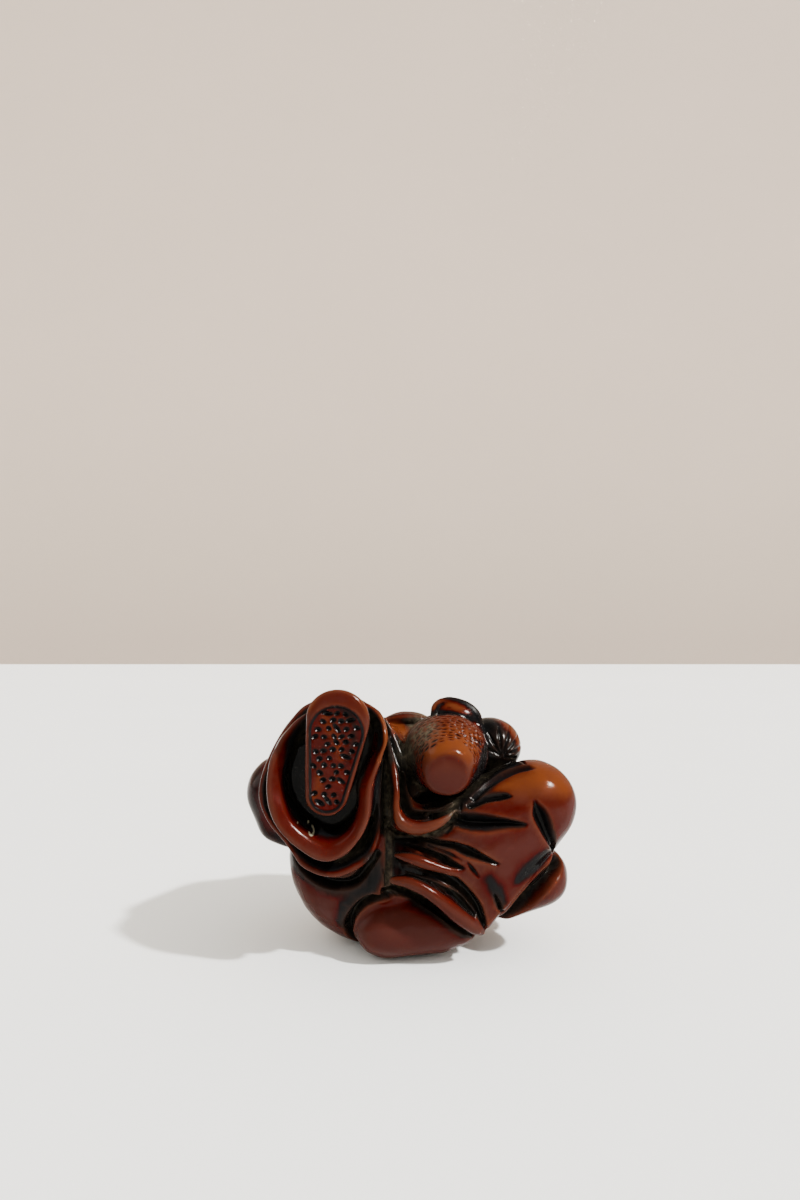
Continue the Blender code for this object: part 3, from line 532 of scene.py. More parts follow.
def sleeve(bm, crest, facet, floor, floor_scale, back, back_scale):
    """A tube of cloth seen end on. Its crest line carries a facet that slopes into the hollow."""
    line = smooth_line(crest, 6, closed=True)
    middle = line.mean(0)
    outward = line - middle
    outward[:, 1] = 0
    unit = outward / np.linalg.norm(outward, axis=1)[:, None]
    front = line[:, 1].mean()
    # size against the crest, shift along its normal, depth behind it, or a fixed depth
    rings = (
        (0.05, 0, None, back),
        (back_scale, 0, None, back),
        (0.5 + 0.5 * back_scale, 0.9, None, 0.45 * back + 0.55 * front),
        (1, 0.1, 1.6, None),
        (1, 0.05, 0.5, None),
        (1, -0.15, 0.1, None),
        (1, -0.45, 0.05, None),
        (1, -facet, 0.45 * facet, None),
        (1, -facet - 0.35, 0.45 * facet + 0.8, None),
        (floor_scale, 0, None, floor),
        (0.05, 0, None, floor),
    )
    made = []
    for size, shift, behind, depth in rings:
        ring = middle + outward * size + unit * shift
        ring[:, 1] = line[:, 1] + behind if depth is None else depth
        made.append([bm.verts.new(point) for point in ring])
    for first, second in zip(made, made[1:]):
        for i in range(len(line)):
            j = (i + 1) % len(line)
            bm.faces.new((first[i], first[j], second[j], second[i]))
    bm.faces.new(made[0][::-1])
    bm.faces.new(made[-1])


# ---- the rough forms ----


def add_body(bm):
    """The rolled-up trunk, the seat and the round lobe that the carving rests on."""
    ball(bm, (-0.5, 2.8, 12.5), (13.5, 9.4, 11.4))
    ball(bm, (-0.5, 5.0, 18.0), (12.5, 8.8, 8.4))
    ball(bm, (-4.3, 1.4, 11.0), (10.9, 8.8, 10.6))
    hull(bm,
         ((-3.0, -3.7, 4.7), (3.7, 4.4, 4.0)),
         ((-4.3, -4.5, 4.2), (2.4, 3.2, 2.8)),
         ((2.6, -3.4, 4.7), (3.6, 4.2, 3.6)),
         ((5.0, -4.6, 4.9), (2.7, 3.0, 2.5)),
         ((0.0, -2.6, 5.4), (5.0, 5.2, 4.0)),
         ((-0.5, 2.0, 6.0), (8.0, 7.0, 5.7)))


def add_leg(bm):
    """The outstretched leg inside two hems of the robe, with a third layer of cloth at its side."""
    hull(bm, ((-9.6, -3.5, 23.6), (6.0, 3.5, 7.0)), ((-6.0, 4.0, 19.5), (9.0, 7.0, 7.5)))
    hull(bm,
         ((-15.7, 0.5, 18.9), 4.6),
         ((-15.9, 0.5, 15.9), 3.3),
         ((-13.9, 0.5, 14.2), 2.4),
         ((-9.0, 4.0, 18.0), 8))
    hull(bm, ((-3.8, -4.2, 15.5), (1.8, 3.9, 2.0)), ((-3.5, -4.2, 9.6), (2.3, 3.8, 2.4)))
    outer_crest = [
        (-12.4, -5.0, 30.1), (-15.2, -5.0, 27.1), (-17.3, -5.0, 23.0), (-18.0, -5.0, 19.8),
        (-17.2, -5.0, 17.0), (-14.7, -6.0, 14.2), (-12.5, -8.0, 12.3), (-9.3, -9.3, 11.5),
        (-6.3, -9.3, 12.4), (-4.2, -9.0, 14.5), (-3.5, -8.3, 17.7), (-3.6, -8.0, 21.0), (-3.6, -7.0, 25.0),
        (-4.6, -6.0, 29.5), (-8.0, -5.0, 31.2),
    ]
    sleeve(bm, outer_crest, facet=0.9, floor=-6.2, floor_scale=0.80, back=2.0, back_scale=0.72)
    inner_crest = [
        (-13.2, -8.0, 28.7), (-15.5, -10.0, 25.6), (-16.1, -11.0, 22.2), (-15.1, -12.0, 18.4),
        (-12.4, -12.2, 15.6), (-9.4, -12.4, 14.3), (-6.7, -12.3, 15.6), (-4.9, -12.0, 18.6),
        (-4.5, -11.3, 22.2), (-3.5, -10.3, 25.1), (-2.9, -9.6, 27.2), (-4.0, -8.0, 30.0), (-8.0, -6.5, 31.4),
    ]
    sleeve(bm, inner_crest, facet=1.5, floor=-7.5, floor_scale=0.70, back=-3.5, back_scale=0.80)


def add_shoe(bm):
    """A tapered shoe, toe up, whose sole faces the viewer."""
    thick = 0.8
    (toe_x, toe_z, toe), (heel_x, heel_z, heel) = TOE, HEEL
    hull(bm,
         ((toe_x, SOLE_FACE + thick, toe_z), (toe, thick, toe)),
         ((heel_x, SOLE_FACE + thick, heel_z), (heel, thick, heel)),
         ((toe_x - 0.4, -5.0, toe_z - 1.0), (toe - 0.1, 2.0, toe - 0.1)),
         ((heel_x, -5.0, heel_z + 1.0), (heel, 2.0, heel + 0.2)))


def add_knee_and_drape(bm):
    """The lifted right knee, the cloth that hangs from it, its hem, and the lobe of cloth behind it."""
    knee = ((14.1, -3.8, 18.6), (5.1, 4.9, 5.0))
    hull(bm, knee, ((7.0, -3.6, 16.2), (5.6, 5.8, 4.6)), ((3.5, -3.0, 14.4), (4.2, 5.8, 3.4)))
    hull(bm,
         knee,
         ((15.5, -4.5, 14.2), (1.3, 0.9, 1.5)),
         ((7.9, -7.3, 6.4), (1.2, 1.0, 1.2)),
         ((6.4, -6.0, 7.9), (1.5, 2.0, 1.5)),
         ((2.4, -4.5, 12.0), (2.8, 4.4, 2.6)),
         ((8.5, -4.0, 14.0), (5.6, 5.4, 4.6)))
    hull(bm,
         ((0.5, -3.6, 13.0), (3.0, 4.6, 2.4)),
         ((5.5, -3.6, 9.0), (3.0, 4.2, 3.0)),
         ((-1.0, -2.0, 10.5), (2.6, 4.6, 2.6)))
    strand(bm, [
        (16.9, -4.0, 15.0, 0.3), (14.3, -6.6, 12.5, 0.4), (12.0, -7.7, 10.0, 0.4), (8.3, -8.1, 6.1, 0.3)])
    hull(bm,
         ((14.7, -3.4, 10.0), (3.6, 4.0, 3.5)),
         ((10.6, -3.0, 8.6), (3.7, 4.0, 3.7)),
         ((15.5, -3.6, 10.9), 2.4))


def add_lap_folds(bm):
    """Three rolls of cloth that spread from the lap, thicker downwards."""
    strand(bm, [
        (-2.0, -8.6, 14.0, 0.35), (0.0, -9.5, 13.8, 0.62), (3.6, -9.2, 12.5, 0.6), (5.6, -8.6, 11.8, 0.35)])
    strand(bm, [
        (-1.0, -8.6, 12.2, 0.2), (2.9, -9.0, 11.0, 0.3), (4.6, -8.6, 10.0, 0.3), (6.0, -8.0, 8.6, 0.2)])
    strand(bm, [
        (-2.3, -8.6, 11.2, 0.45), (-0.6, -9.2, 11.2, 0.68), (1.1, -9.5, 10.5, 0.75), (2.9, -9.4, 9.3, 0.85),
        (5.0, -8.7, 7.4, 0.95), (6.8, -7.7, 5.7, 0.9), (7.7, -7.1, 4.9, 0.55)])


def add_head(bm):
    """The bowed head, its crown towards the viewer, on a neck that runs into the robe."""
    x, z = HEAD
    hull(bm, ((x, -8.3, z + 0.2), (3.3, 3.2, 3.3)), ((x + 0.2, -4.3, z + 0.9), (5.0, 4.4, 4.5)))
    ball(bm, (x + 0.8, 0.0, z + 0.8), (5.5, 5.0, 4.2))


def add_collars(bm):
    """The standing collar at the nape, the broad band that turns under the head, and its inner edge."""
    ball(bm, (5.2, -0.8, 28.1), (3.0, 1.9, 2.0))
    hull(bm, ((3.5, -0.3, 28.8), 1.1), ((6.7, -0.3, 28.4), 1.2), ((5.0, -0.1, 29.1), 1.1))
    lip = [
        (2.5, -2.0, 28.2), (2.6, -1.6, 29.5), (3.4, -1.2, 30.2), (4.8, -1.0, 30.35), (6.3, -1.0, 30.0),
        (7.4, -1.1, 29.3), (8.0, -1.3, 28.4), (8.0, -1.6, 27.3)]
    strand(bm, [(*point, COLLAR_LIP) for point in lip])
    strand(bm, [
        (2.5, -2.8, 29.6, 0.3), (3.3, -3.3, 29.95, 0.55), (4.7, -3.5, 29.9, 0.6), (6.0, -3.3, 29.5, 0.35),
        (6.6, -3.1, 29.2, 0.2)])
    hull(bm,
         ((-3.0, -3.4, 26.4), 0.9),
         ((-1.9, -6.6, 21.6), 0.8),
         ((-1.3, -8.0, 17.9), 1.3),
         ((1.0, -7.8, 17.0), 1.3),
         ((-1.5, 1.0, 20.0), 4.0))
    strand(bm, [
        (-3.3, -3.6, 28.5, 0.25), (-2.3, -4.4, 26.4, 0.4), (-1.4, -5.4, 24.1, 0.5), (-1.0, -6.0, 22.9, 0.3)])
    strand(bm, [
        (-3.0, -5.0, 26.5, 0.3), (-2.3, -7.0, 23.7, 0.5), (-1.9, -8.7, 21.2, 0.45),
        (-1.95, -9.2, 19.4, 0.5), (-1.45, -9.5, 18.0, 0.7), (-0.4, -9.6, 17.4, 0.75),
        (0.9, -9.6, 17.25, 0.7), (2.4, -9.4, 17.6, 0.6), (3.7, -8.9, 18.2, 0.45), (4.8, -8.3, 18.8, 0.3)])
    inner_edge = [
        (-1.0, -5.6, 22.2), (-0.8, -6.8, 20.7), (-0.1, -7.8, 19.3), (1.2, -8.2, 18.7), (2.7, -8.3, 18.8),
        (4.3, -8.1, 19.5)]
    strand(bm, [(*point, BAND_EDGE) for point in inner_edge])


def add_shoulders(bm):
    """The gathered cloth right of the head, the far shoulder, and the hip and side behind them."""
    ball(bm, (9.6, 0.6, 24.5), (3.8, 4.0, 3.5))
    hull(bm, ((-0.6, 8.3, 23.7), (4.8, 3.6, 4.0)), ((-1.0, 7.4, 19.0), (10.5, 6.2, 6.8)))
    ball(bm, (-1.6, 4.0, 22.2), (3.4, 3.3, 3.3))
    strand(bm, [
        (-4.2, 5.6, 25.6, 0.5), (-2.9, 5.1, 26.8, 0.7), (-0.9, 4.9, 27.2, 0.75), (1.1, 5.0, 27.0, 0.7),
        (2.9, 5.4, 26.2, 0.5)])
    hull(bm, ((13.2, -1.6, 17.6), (4.2, 4.2, 4.6)), ((8.0, 5.0, 15.0), (6.0, 6.6, 7.5)))
    hull(bm, ((14.2, 1.6, 9.0), (3.2, 3.6, 3.2)), ((6.0, 4.5, 9.0), (6.0, 6.5, 6.0)))
    hull(bm, ((9.2, 1.6, 23.8), (3.0, 3.4, 3.0)), ((5.0, 6.0, 20.0), (6.5, 6.0, 5.0)))


# ---- fusing and carving ----


def new_object(name, bm):
    bmesh.ops.recalc_face_normals(bm, faces=bm.faces)
    mesh = bpy.data.meshes.new(name)
    bm.to_mesh(mesh)
    bm.free()
    return add_object(name, mesh)


def fuse(obj, grain):
    """Turns the overlapping forms into one skin."""
    remesh = obj.modifiers.new("one skin", "REMESH")
    remesh.mode = "VOXEL"
    remesh.voxel_size = grain
    apply_modifiers(obj)


def keep_largest_skin(mesh):
    """Fills the small pockets that stay sealed between the forms, by removing their skins."""
    with editing(mesh) as bm:
        left = set(bm.verts)
        skins = []
        while left:
            skin, edge = set(), {left.pop()}
            while edge:
                skin |= edge
                edge = {link.other_vert(v) for v in edge for link in v.link_edges} - skin
            left -= skin
            skins.append(skin)
        largest = max(skins, key=len)
        small = [v for skin in skins if skin is not largest for v in skin]
        bmesh.ops.delete(bm, geom=small, context="VERTS")


def thin_out(obj):
    """Keeps faces where they are needed: first over the broad forms, then in the finely marked areas."""
    fine = stored(obj.data, "fine") > 0.5
    for name, chosen in (("broad", ~fine), ("marked", fine)):
        obj.vertex_groups.new(name=name).add(np.flatnonzero(chosen).tolist(), 1.0, "REPLACE")
    for name, triangles in (("broad", BROAD_TRIANGLES), ("marked", TRIANGLES)):
        obj.data.calc_loop_triangles()
        decimate = obj.modifiers.new("fewer faces", "DECIMATE")
        decimate.ratio = triangles / len(obj.data.loop_triangles)
        decimate.vertex_group = name
        decimate.vertex_group_factor = 1.0
        decimate.use_collapse_triangulate = True
        apply_modifiers(obj)


def near_line(points, line):
    """Each point's distance to a line of straight pieces, and how far along the line it is nearest."""
    steps = np.diff(line, axis=0)
    lengths = np.linalg.norm(steps, axis=1)
    starts = np.concatenate([[0], np.cumsum(lengths)])
    distance = np.full(len(points), np.inf)
    along = np.zeros(len(points))
    for start, step, length, base in zip(line, steps, lengths, starts):
        t = np.clip((points - start) @ step / length**2, 0, 1)
        found = np.linalg.norm(points - start - t[:, None] * step, axis=1)
        nearer = found < distance
        distance[nearer] = found[nearer]
        along[nearer] = (base + t[nearer] * length) / starts[-1]
    return distance, along


def lay_on(tree, drawn, side):
    """Puts a line drawn on the front (side -1) or back (side 1) view onto the surface, from well outside."""
    laid = []
    for x, z, half in smooth_line(drawn, 5):
        spot = tree.ray_cast(Vector((x, 40 * side, z)), Vector((0, -side, 0)))[0]
        if spot is not None:
            laid.append((*spot, half))
    laid = np.array(laid)
    # evens out its depth, but not at the ends
    for _ in range(3):
        laid[1:-1, 1] = 0.25 * laid[:-2, 1] + 0.5 * laid[1:-1, 1] + 0.25 * laid[2:, 1]
    return laid[:, :3], laid[:, 3]


def carve_groove(points, normals, tree, drawn, depth, side):
    """Sinks a leaf-shaped groove, deepest where it is widest."""
    line, halves = lay_on(tree, drawn, side)
    widest = halves.max()
    low, high = line.min(0) - 1.5 * widest, line.max(0) + 1.5 * widest
    facing = normals[:, 1] * side > FACING[side]
    near = np.flatnonzero(((points > low) & (points < high)).all(1) & facing)
    distance, along = near_line(points[near], line)
    lengths = np.concatenate([[0], np.cumsum(np.linalg.norm(np.diff(line, axis=0), axis=1))])
    half = np.interp(along, lengths / lengths[-1], halves)
    across = np.clip(distance / half, 0, 1)
    sunk = depth * (half / widest) ** 0.6 * (1 - across**2) ** 1.3
    points[near] -= normals[near] * sunk[:, None]


def inside_sole(points):
    """How far inside the sunk field of the sole each point is, seen from the front."""
    toe = np.array(TOE) - (0.15, SOLE_DROP, SOLE_RIM)
    heel = np.array(HEEL) - (-0.05, 0, SOLE_RIM - 0.05)
    length = heel[:2] - toe[:2]
    flat = points[:, [0, 2]] - toe[:2]
    t = np.clip(flat @ length / (length @ length), 0, 1)
    return toe[2] + t * (heel[2] - toe[2]) - np.linalg.norm(flat - t[:, None] * length, axis=1)


def on_sole(points, inside=0.1, thick=SOLE_THICK):
    """Which points lie in the sunk field of the sole, so far inside its edge."""
    return (points[:, 1] < SOLE_FACE + thick) & (inside_sole(points) > inside)


def carve_sole(points):
    """A flat field, sunk inside a raised border."""
    share = ramp(inside_sole(points), 0, SOLE_STEP)
    sunk = np.maximum(points[:, 1], SOLE_FACE + SOLE_DEPTH)
    near = points[:, 1] < SOLE_FACE + SOLE_THICK
    points[near, 1] += (share * (sunk - points[:, 1]))[near]


def carve_crown(points):
    """The bare crown, worn almost flat, with a soft start."""
    off_centre = np.hypot(points[:, 0] - HEAD[0], points[:, 2] - HEAD[1])
    near = (off_centre < CROWN_SPREAD) & (points[:, 1] < CROWN_FACE + 0.7)
    face = CROWN_FACE - CROWN_TILT * (points[near, 2] - HEAD[1] + 0.3)
    proud = CROWN_EDGE * np.log1p(np.exp((face - points[near, 1]) / CROWN_EDGE))
    points[near, 1] += 0.85 * proud


# ---- finer relief ----


def refine(mesh, wanted):
    """Halves the edges where small marks are cut."""
    with editing(mesh) as bm:
        chosen = [edge for edge in bm.edges if all(wanted[vert.index] for vert in edge.verts)]
        bmesh.ops.subdivide_edges(bm, edges=chosen, cuts=1, use_grid_fill=True)
        bmesh.ops.triangulate(bm, faces=[face for face in bm.faces if len(face.verts) > 4])


def carve_dents(points, normals, sunk, dents, where, flat=False):
    """Small oval pits: middle, direction, half length, half width, depth, and how much stain they hold.

    On a flat face they are measured as seen straight on, so that they keep their size where it dips.
    """
    near = np.flatnonzero(where)
    for middle, along, long, short, depth, dark in dents:
        offset = points[near] - middle
        if flat:
            facing = normals[near[0]]
            offset -= np.outer(offset @ facing, facing)
        close = np.flatnonzero(np.abs(offset).max(1) < 1.4 * long)
        lengthwise = offset[close] @ along
        across = offset[close] - lengthwise[:, None] * along
        reach = np.sqrt((lengthwise / long) ** 2 + (np.linalg.norm(across, axis=1) / short) ** 2)
        deep = depth * np.clip(1 - reach**2, 0, 1) ** 1.2
        hit = near[close]
        points[hit] -= normals[hit] * deep[:, None]
        sunk[hit] = np.maximum(sunk[hit], dark * np.clip(1.4 - reach, 0, 1))


def sole_dents(chance):
    """Staggered rows of punch marks over the sunk field of the sole, some of them run together."""
    dents = []
    (toe_x, toe_z, toe), (heel_x, heel_z, _) = TOE, HEEL
    rows = np.arange(heel_z - 1.5, toe_z + toe, DOT_PITCH * 0.8)
    for row, z in enumerate(rows):
        shift = 0.5 * DOT_PITCH * (row % 2)
        for x in np.arange(toe_x - toe, toe_x + toe, DOT_PITCH) + shift:
            x_here = x + chance.uniform(-DOT_STRAY, DOT_STRAY)
            z_here = z + chance.uniform(-DOT_STRAY, DOT_STRAY)
            at_the_edge = inside_sole(np.array([[x_here, 0, z_here]]))[0] < 0.5
            if at_the_edge or chance.random() < DOT_MISSED:
                continue
            turn = chance.uniform(-0.9, 0.5)
            along = np.array((math.cos(turn), 0, math.sin(turn)))
            long = chance.uniform(*DOT_LONG)
            if chance.random() < DOT_JOINED:
                long += JOINED_LONGER
            middle = np.array((x_here, SOLE_FACE + SOLE_DEPTH, z_here))
            short, depth = chance.uniform(*DOT_SHORT), chance.uniform(*DOT_DEPTH)
            dents.append((middle, along, long, short, depth, 1.0))
    return dents


def hair_dents(tree, chance):
    """Rings of dashes round the bare crown, as for cropped hair."""
    middle = Vector(HAIR_MIDDLE)
    dents = []
    for ring, polar in enumerate(np.radians(np.arange(*HAIR_REACH, DASH_RING))):
        around = 2 * math.pi * HAIR_RADIUS * math.sin(polar)
        count = round(around / DASH_PITCH)
        for k in range(count):
            turn = 2 * math.pi * (k + 0.5 * (ring % 2)) / count + chance.uniform(-0.04, 0.04)
            tilt = polar + 0.03 * math.sin(5 * turn + ring) + chance.uniform(-0.015, 0.015)
            size = chance.uniform(0.85, 1.15)
            # the bare crown reaches further at its upper right, and the chin side has no hair
            bare = math.degrees(tilt) < 27 + 9 * math.exp(-(((turn - 0.95) / 0.55) ** 2))
            if math.sin(turn) < -0.5 or bare:
                continue
            side = math.sin(tilt)
            ray = Vector((side * math.cos(turn), -math.cos(tilt), side * math.sin(turn)))
            spot = tree.ray_cast(middle + ray * 12, -ray)[0]
            if spot is None or (spot - middle).length > HAIR_OUTSIDE:
                continue
            along = np.array((-math.sin(turn), 0, math.cos(turn)))
            dark = 0.9 if turn > 2.0 else 0.55
            dents.append((np.array(spot), along, *(size * part for part in DASH_SIZE), dark))
    return dents


def pleat_lines():
    """Grooves that fan out over the gathered cloth right of the head."""
    x, z = PLEAT_MIDDLE
    lines = []
    ways = np.radians((-12, 16, 42, 68, 94, 120, 148))
    lengths = (2.6, 3.1, 3.4, 3.6, 3.6, 3.2, 2.4)
    for angle, length in zip(ways, lengths):
        points = [
            (x + reach * length * math.cos(angle), z + reach * length * math.sin(angle), half)
            for reach, half in ((0.12, 0.14), (0.45, 0.22), (0.8, 0.2), (1.0, 0.08))
        ]
        lines.append((0.35, points))
    return lines


def uneven(points):
    """A slow unevenness of the polished surface, as knife work leaves it."""
    chance = np.random.default_rng(11)
    total = np.zeros(len(points))
    waves = 14
    for _ in range(waves):
        direction = chance.normal(size=3)
        direction *= 2 * math.pi / chance.uniform(2.2, 5.5) / np.linalg.norm(direction)
        total += np.sin(points @ direction + chance.uniform(0, 6.3))
    return UNEVEN * total / waves**0.5


def fine_areas(points):
    """The field of the sole and the cropped hair, which carry the smallest marks."""
    offset = points - HAIR_MIDDLE
    radius = np.linalg.norm(offset, axis=1)
    beside = np.hypot(offset[:, 0], offset[:, 2])
    # neither the back of the head, nor the crown, nor the chin side
    turned = (offset[:, 1] < 0.56 * radius) & (beside > 0.48 * radius) & (offset[:, 2] > -0.58 * beside)
    return on_sole(points, thick=0.9) | ((radius < HAIR_RADIUS + 0.55) & turned)


def fine_carve(mesh):
    """All carving at full fineness. Returns how deeply each vertex was cut, from 0 to 1."""
    relax(mesh, 7)
    tree = skin_tree(mesh)
    points = points_of(mesh)
    refine(mesh, fine_areas(points))
    relax(mesh, 2)

    normals = broad_normals(mesh, round(2.5 / GRAIN))
    points = points_of(mesh)
    start = points.copy()
    front, back = FRONT_GROOVES.values(), BACK_GROOVES.values()
    for side, grooves in ((-1, front), (1, back), (-1, pleat_lines() + FINE_GROOVES)):
        for depth, drawn in grooves:
            carve_groove(points, normals, tree, drawn, depth, side)
    sunk = np.clip(((start - points) * normals).sum(1) / FULL_DEPTH, 0, 1)
    points += normals * uneven(points)[:, None]
    carve_crown(points)
    carve_sole(points)
    set_points(mesh, points)
    relax(mesh, 1)

    tree = skin_tree(mesh)
    points = points_of(mesh)
    chance = np.random.default_rng(5)
    on_head = np.linalg.norm(points - HAIR_MIDDLE, axis=1) < HAIR_OUTSIDE + 0.1
    straight = np.tile((0.0, -1.0, 0.0), (len(points), 1))
    carve_dents(points, straight, sunk, sole_dents(chance), on_sole(points), flat=True)
    carve_dents(points, broad_normals(mesh, 4), sunk, hair_dents(tree, chance), on_head)
    set_points(mesh, points)
    return sunk


# ---- stain and wear, with painted light and shade, kept as numbers at the points of the skin ----


def hollowness(mesh, rays=16, near=2.0, far=7.0):
    """How much of its surroundings the carving itself hides from each vertex, close by and further out."""
    tree = skin_tree(mesh)
    normals = numbers_of(mesh, "normal")
    starts = points_of(mesh) + 0.03 * normals
    side = np.cross(normals, (0.31, 0.95, 0.03))
    side /= np.maximum(np.linalg.norm(side, axis=1), 1e-6)[:, None]
    other = np.cross(normals, side)
    golden = math.pi * (3 - 5**0.5)
    close, wide = np.zeros((2, len(starts)))
    for k in range(rays):
        height = math.sqrt(1 - (k + 0.5) / rays)
        flat = math.sqrt(1 - height * height)
        ways = height * normals + flat * (math.cos(k * golden) * side + math.sin(k * golden) * other)
        rays_out = zip(starts.tolist(), ways.tolist())
        hits = [tree.ray_cast(start, way, far)[3] for start, way in rays_out]
        distance = np.array([far if hit is None else hit for hit in hits])
        close += np.clip(1 - distance / near, 0, 1)
        wide += 1 - distance / far
    return close / rays, wide / rays


def bulge(mesh):
    """Height of each vertex over its smoothed surroundings: above 0 on edges, below 0 in creases."""
    points = points_of(mesh)
    return ((points - softened(mesh, points, 14)) * broad_normals(mesh, 2)).sum(1)


def painted(mesh, strokes, nearest=ANYWHERE):
    """Soft brush marks drawn on the front view, on what faces the viewer and is no nearer than a depth."""
    points = points_of(mesh)
    facing = ramp(-broad_normals(mesh, 2)[:, 1], -0.3, 0.3)
    flat = points[:, [0, 2]]
    total = np.zeros(len(points))
    for strength, *drawn in strokes:
        line = smooth_line(drawn, 4)
        distance, along = near_line(flat, line[:, :2])
        half = np.interp(along, np.linspace(0, 1, len(line)), line[:, 2])
        mark = strength * facing * np.exp(-((distance / half) ** 2) * 1.2)
        mark[points[:, 1] < nearest] = 0
        total = np.maximum(total, mark)
    return total


def seen_by_the_viewer(points):
    """Where each point shows from the front, at the depth of the hollow."""
    x, y, z = VIEWER
    nearer = (HOLLOW_DEPTH - y) / (points[:, 1] - y)
    return x + nearer * (points[:, 0] - x), z + nearer * (points[:, 2] - z)


def colour_the_surface(mesh):
    """Stores how much stain, wear and dust each vertex has, with painted light, shade and sheen among them,
    and where it lies about the chip.
    """
    points = points_of(mesh)
    close, wide = (spread(mesh, values, 2) for values in hollowness(mesh))
    # the brushed marks are stain, with painted shade beside the knee
    brushed = [painted(mesh, strokes, nearest) for nearest, strokes in STAIN_AND_SHADE_STROKES.items()]
    hollows = [ramp(wide, *WIDE_HOLLOW), ramp(close, *CLOSE_HOLLOW)]
    carved = [stored(mesh, "cut"), stored(mesh, "crease")]
    stain_and_shade = np.maximum.reduce(hollows + carved + brushed)
    # thin stain, with painted shade at the upper edge of the crown
    thin_stain_and_shade = painted(mesh, THIN_STAIN_AND_SHADE_STROKES)
    # painted light: lit patches that lose their stain and dust and turn orange-brown
    bare = painted(mesh, LIT_PATCH_STROKES, LIT_PATCH_NEAREST)
    stain_and_shade = ((1 - thin_stain_and_shade) * stain_and_shade + THIN_STAIN * thin_stain_and_shade) * (1 - bare)
    stain_and_shade = np.where(stored(mesh, "fine") > 0.5, stain_and_shade, spread(mesh, stain_and_shade, 4))
    field = on_sole(points, inside=-0.1)
    border = 0.95 * np.exp(-(((inside_sole(points) - 0.2) / 0.16) ** 2))
    stain_and_shade[field] = np.maximum.reduce([stain_and_shade, border, np.full(len(stain_and_shade), SOLE_STAIN)])[field]
    store(mesh, "stain_and_shade", np.clip(spread(mesh, stain_and_shade, 1), 0, 1))
    # dust, with a painted grey sheen beside the head
    dust_and_sheen_share = HOLLOW_DUST * spread(mesh, ramp(wide, *DUSTY_HOLLOW), 2) + painted(mesh, DUST_AND_SHEEN_STROKES)
    store(mesh, "dust_and_sheen", (1 - thin_stain_and_shade) * (1 - bare) * np.clip(dust_and_sheen_share, 0, 1))
    # wear, with painted light on the lit tops of the knee, the head and the toe
    worn_and_lit = (1 - thin_stain_and_shade) * painted(mesh, WORN_AND_LIT_STROKES)
    store(mesh, "worn_and_lit", spread(mesh, np.maximum(worn_and_lit, bare), 2))
    x, z = seen_by_the_viewer(points)
    middle_x, middle_z, half_width, half_height = CHIP
    store(mesh, "chip across", (x - middle_x) / half_width)
    store(mesh, "chip up", (z - middle_z) / half_height)
    store(mesh, "hollow", (points[:, 1] > HOLLOW_NEAREST) & (points[:, 1] < HOLLOW_FURTHEST))


# ---- the carving ----


def bore_cord_channel(obj):
    """Two holes low in the back, joined by a channel for the cord."""
    half = [(2.6, 8.4), (4.6, 11.0), (5.5, 16.0)]
    way = [(-x, y) for x, y in reversed(half)] + [(0.0, 7.6)] + half
    bm = bmesh.new()
    strand(bm, [(x, y, CORD_HEIGHT, CORD_HOLE) for x, y in way], steps=5)
    cutter = new_object("cord_channel_cutter", bm)
    fuse(cutter, CORD_GRAIN)
    relax(cutter.data, 3)
    cut = obj.modifiers.new("cord channel", "BOOLEAN")
    cut.operation = "DIFFERENCE"
    cut.solver = "MANIFOLD"
    cut.object = cutter
    apply_modifiers(obj)
    bpy.data.objects.remove(cutter)


def stand_it(mesh):
    """Cuts the small flat under the lobe. Returns the middle of the underside."""
    with editing(mesh) as bm:
        floor = Vector((0, 0, min(v.co.z for v in bm.verts) + FLAT_CUT))
        everything = bm.verts[:] + bm.edges[:] + bm.faces[:]
        cut = bmesh.ops.bisect_plane(
            bm, geom=everything, plane_co=floor, plane_no=(0, 0, -1), clear_outer=True
        )
        rim = [edge for edge in cut["geom_cut"] if isinstance(edge, bmesh.types.BMEdge)]
        filled = bmesh.ops.edgenet_fill(bm, edges=rim)
        bmesh.ops.triangulate(bm, faces=filled["faces"])
        bmesh.ops.recalc_face_normals(bm, faces=bm.faces)
    points = points_of(mesh)
    low, high = points.min(0), points.max(0)
    return np.array((*(low + high)[:2] / 2, low[2]))


def set_on_box(mesh, middle):
    """From millimetres about its own middle to metres on the frame's box."""
    low, high = CAD_BOX
    place = np.array(((low[0] + high[0]) / 2, (low[1] + high[1]) / 2, low[2]))
    set_points(mesh, (points_of(mesh) - middle) * SCALE * 0.001 + place)


def fill_out(mesh, tree, longest):
    """Halves the edges that stayed long and sets their middles on the fine skin, to keep outlines round."""
    for _ in range(2):
        with editing(mesh) as bm:
            before = len(bm.verts)
            long = [edge for edge in bm.edges if edge.calc_length() > longest]
            bmesh.ops.subdivide_edges(bm, edges=long, cuts=1)
            bmesh.ops.triangulate(bm, faces=[face for face in bm.faces if len(face.verts) > 3])
            bm.verts.ensure_lookup_table()
            for vert in bm.verts[before:]:
                vert.co = tree.find_nearest(vert.co)[0]


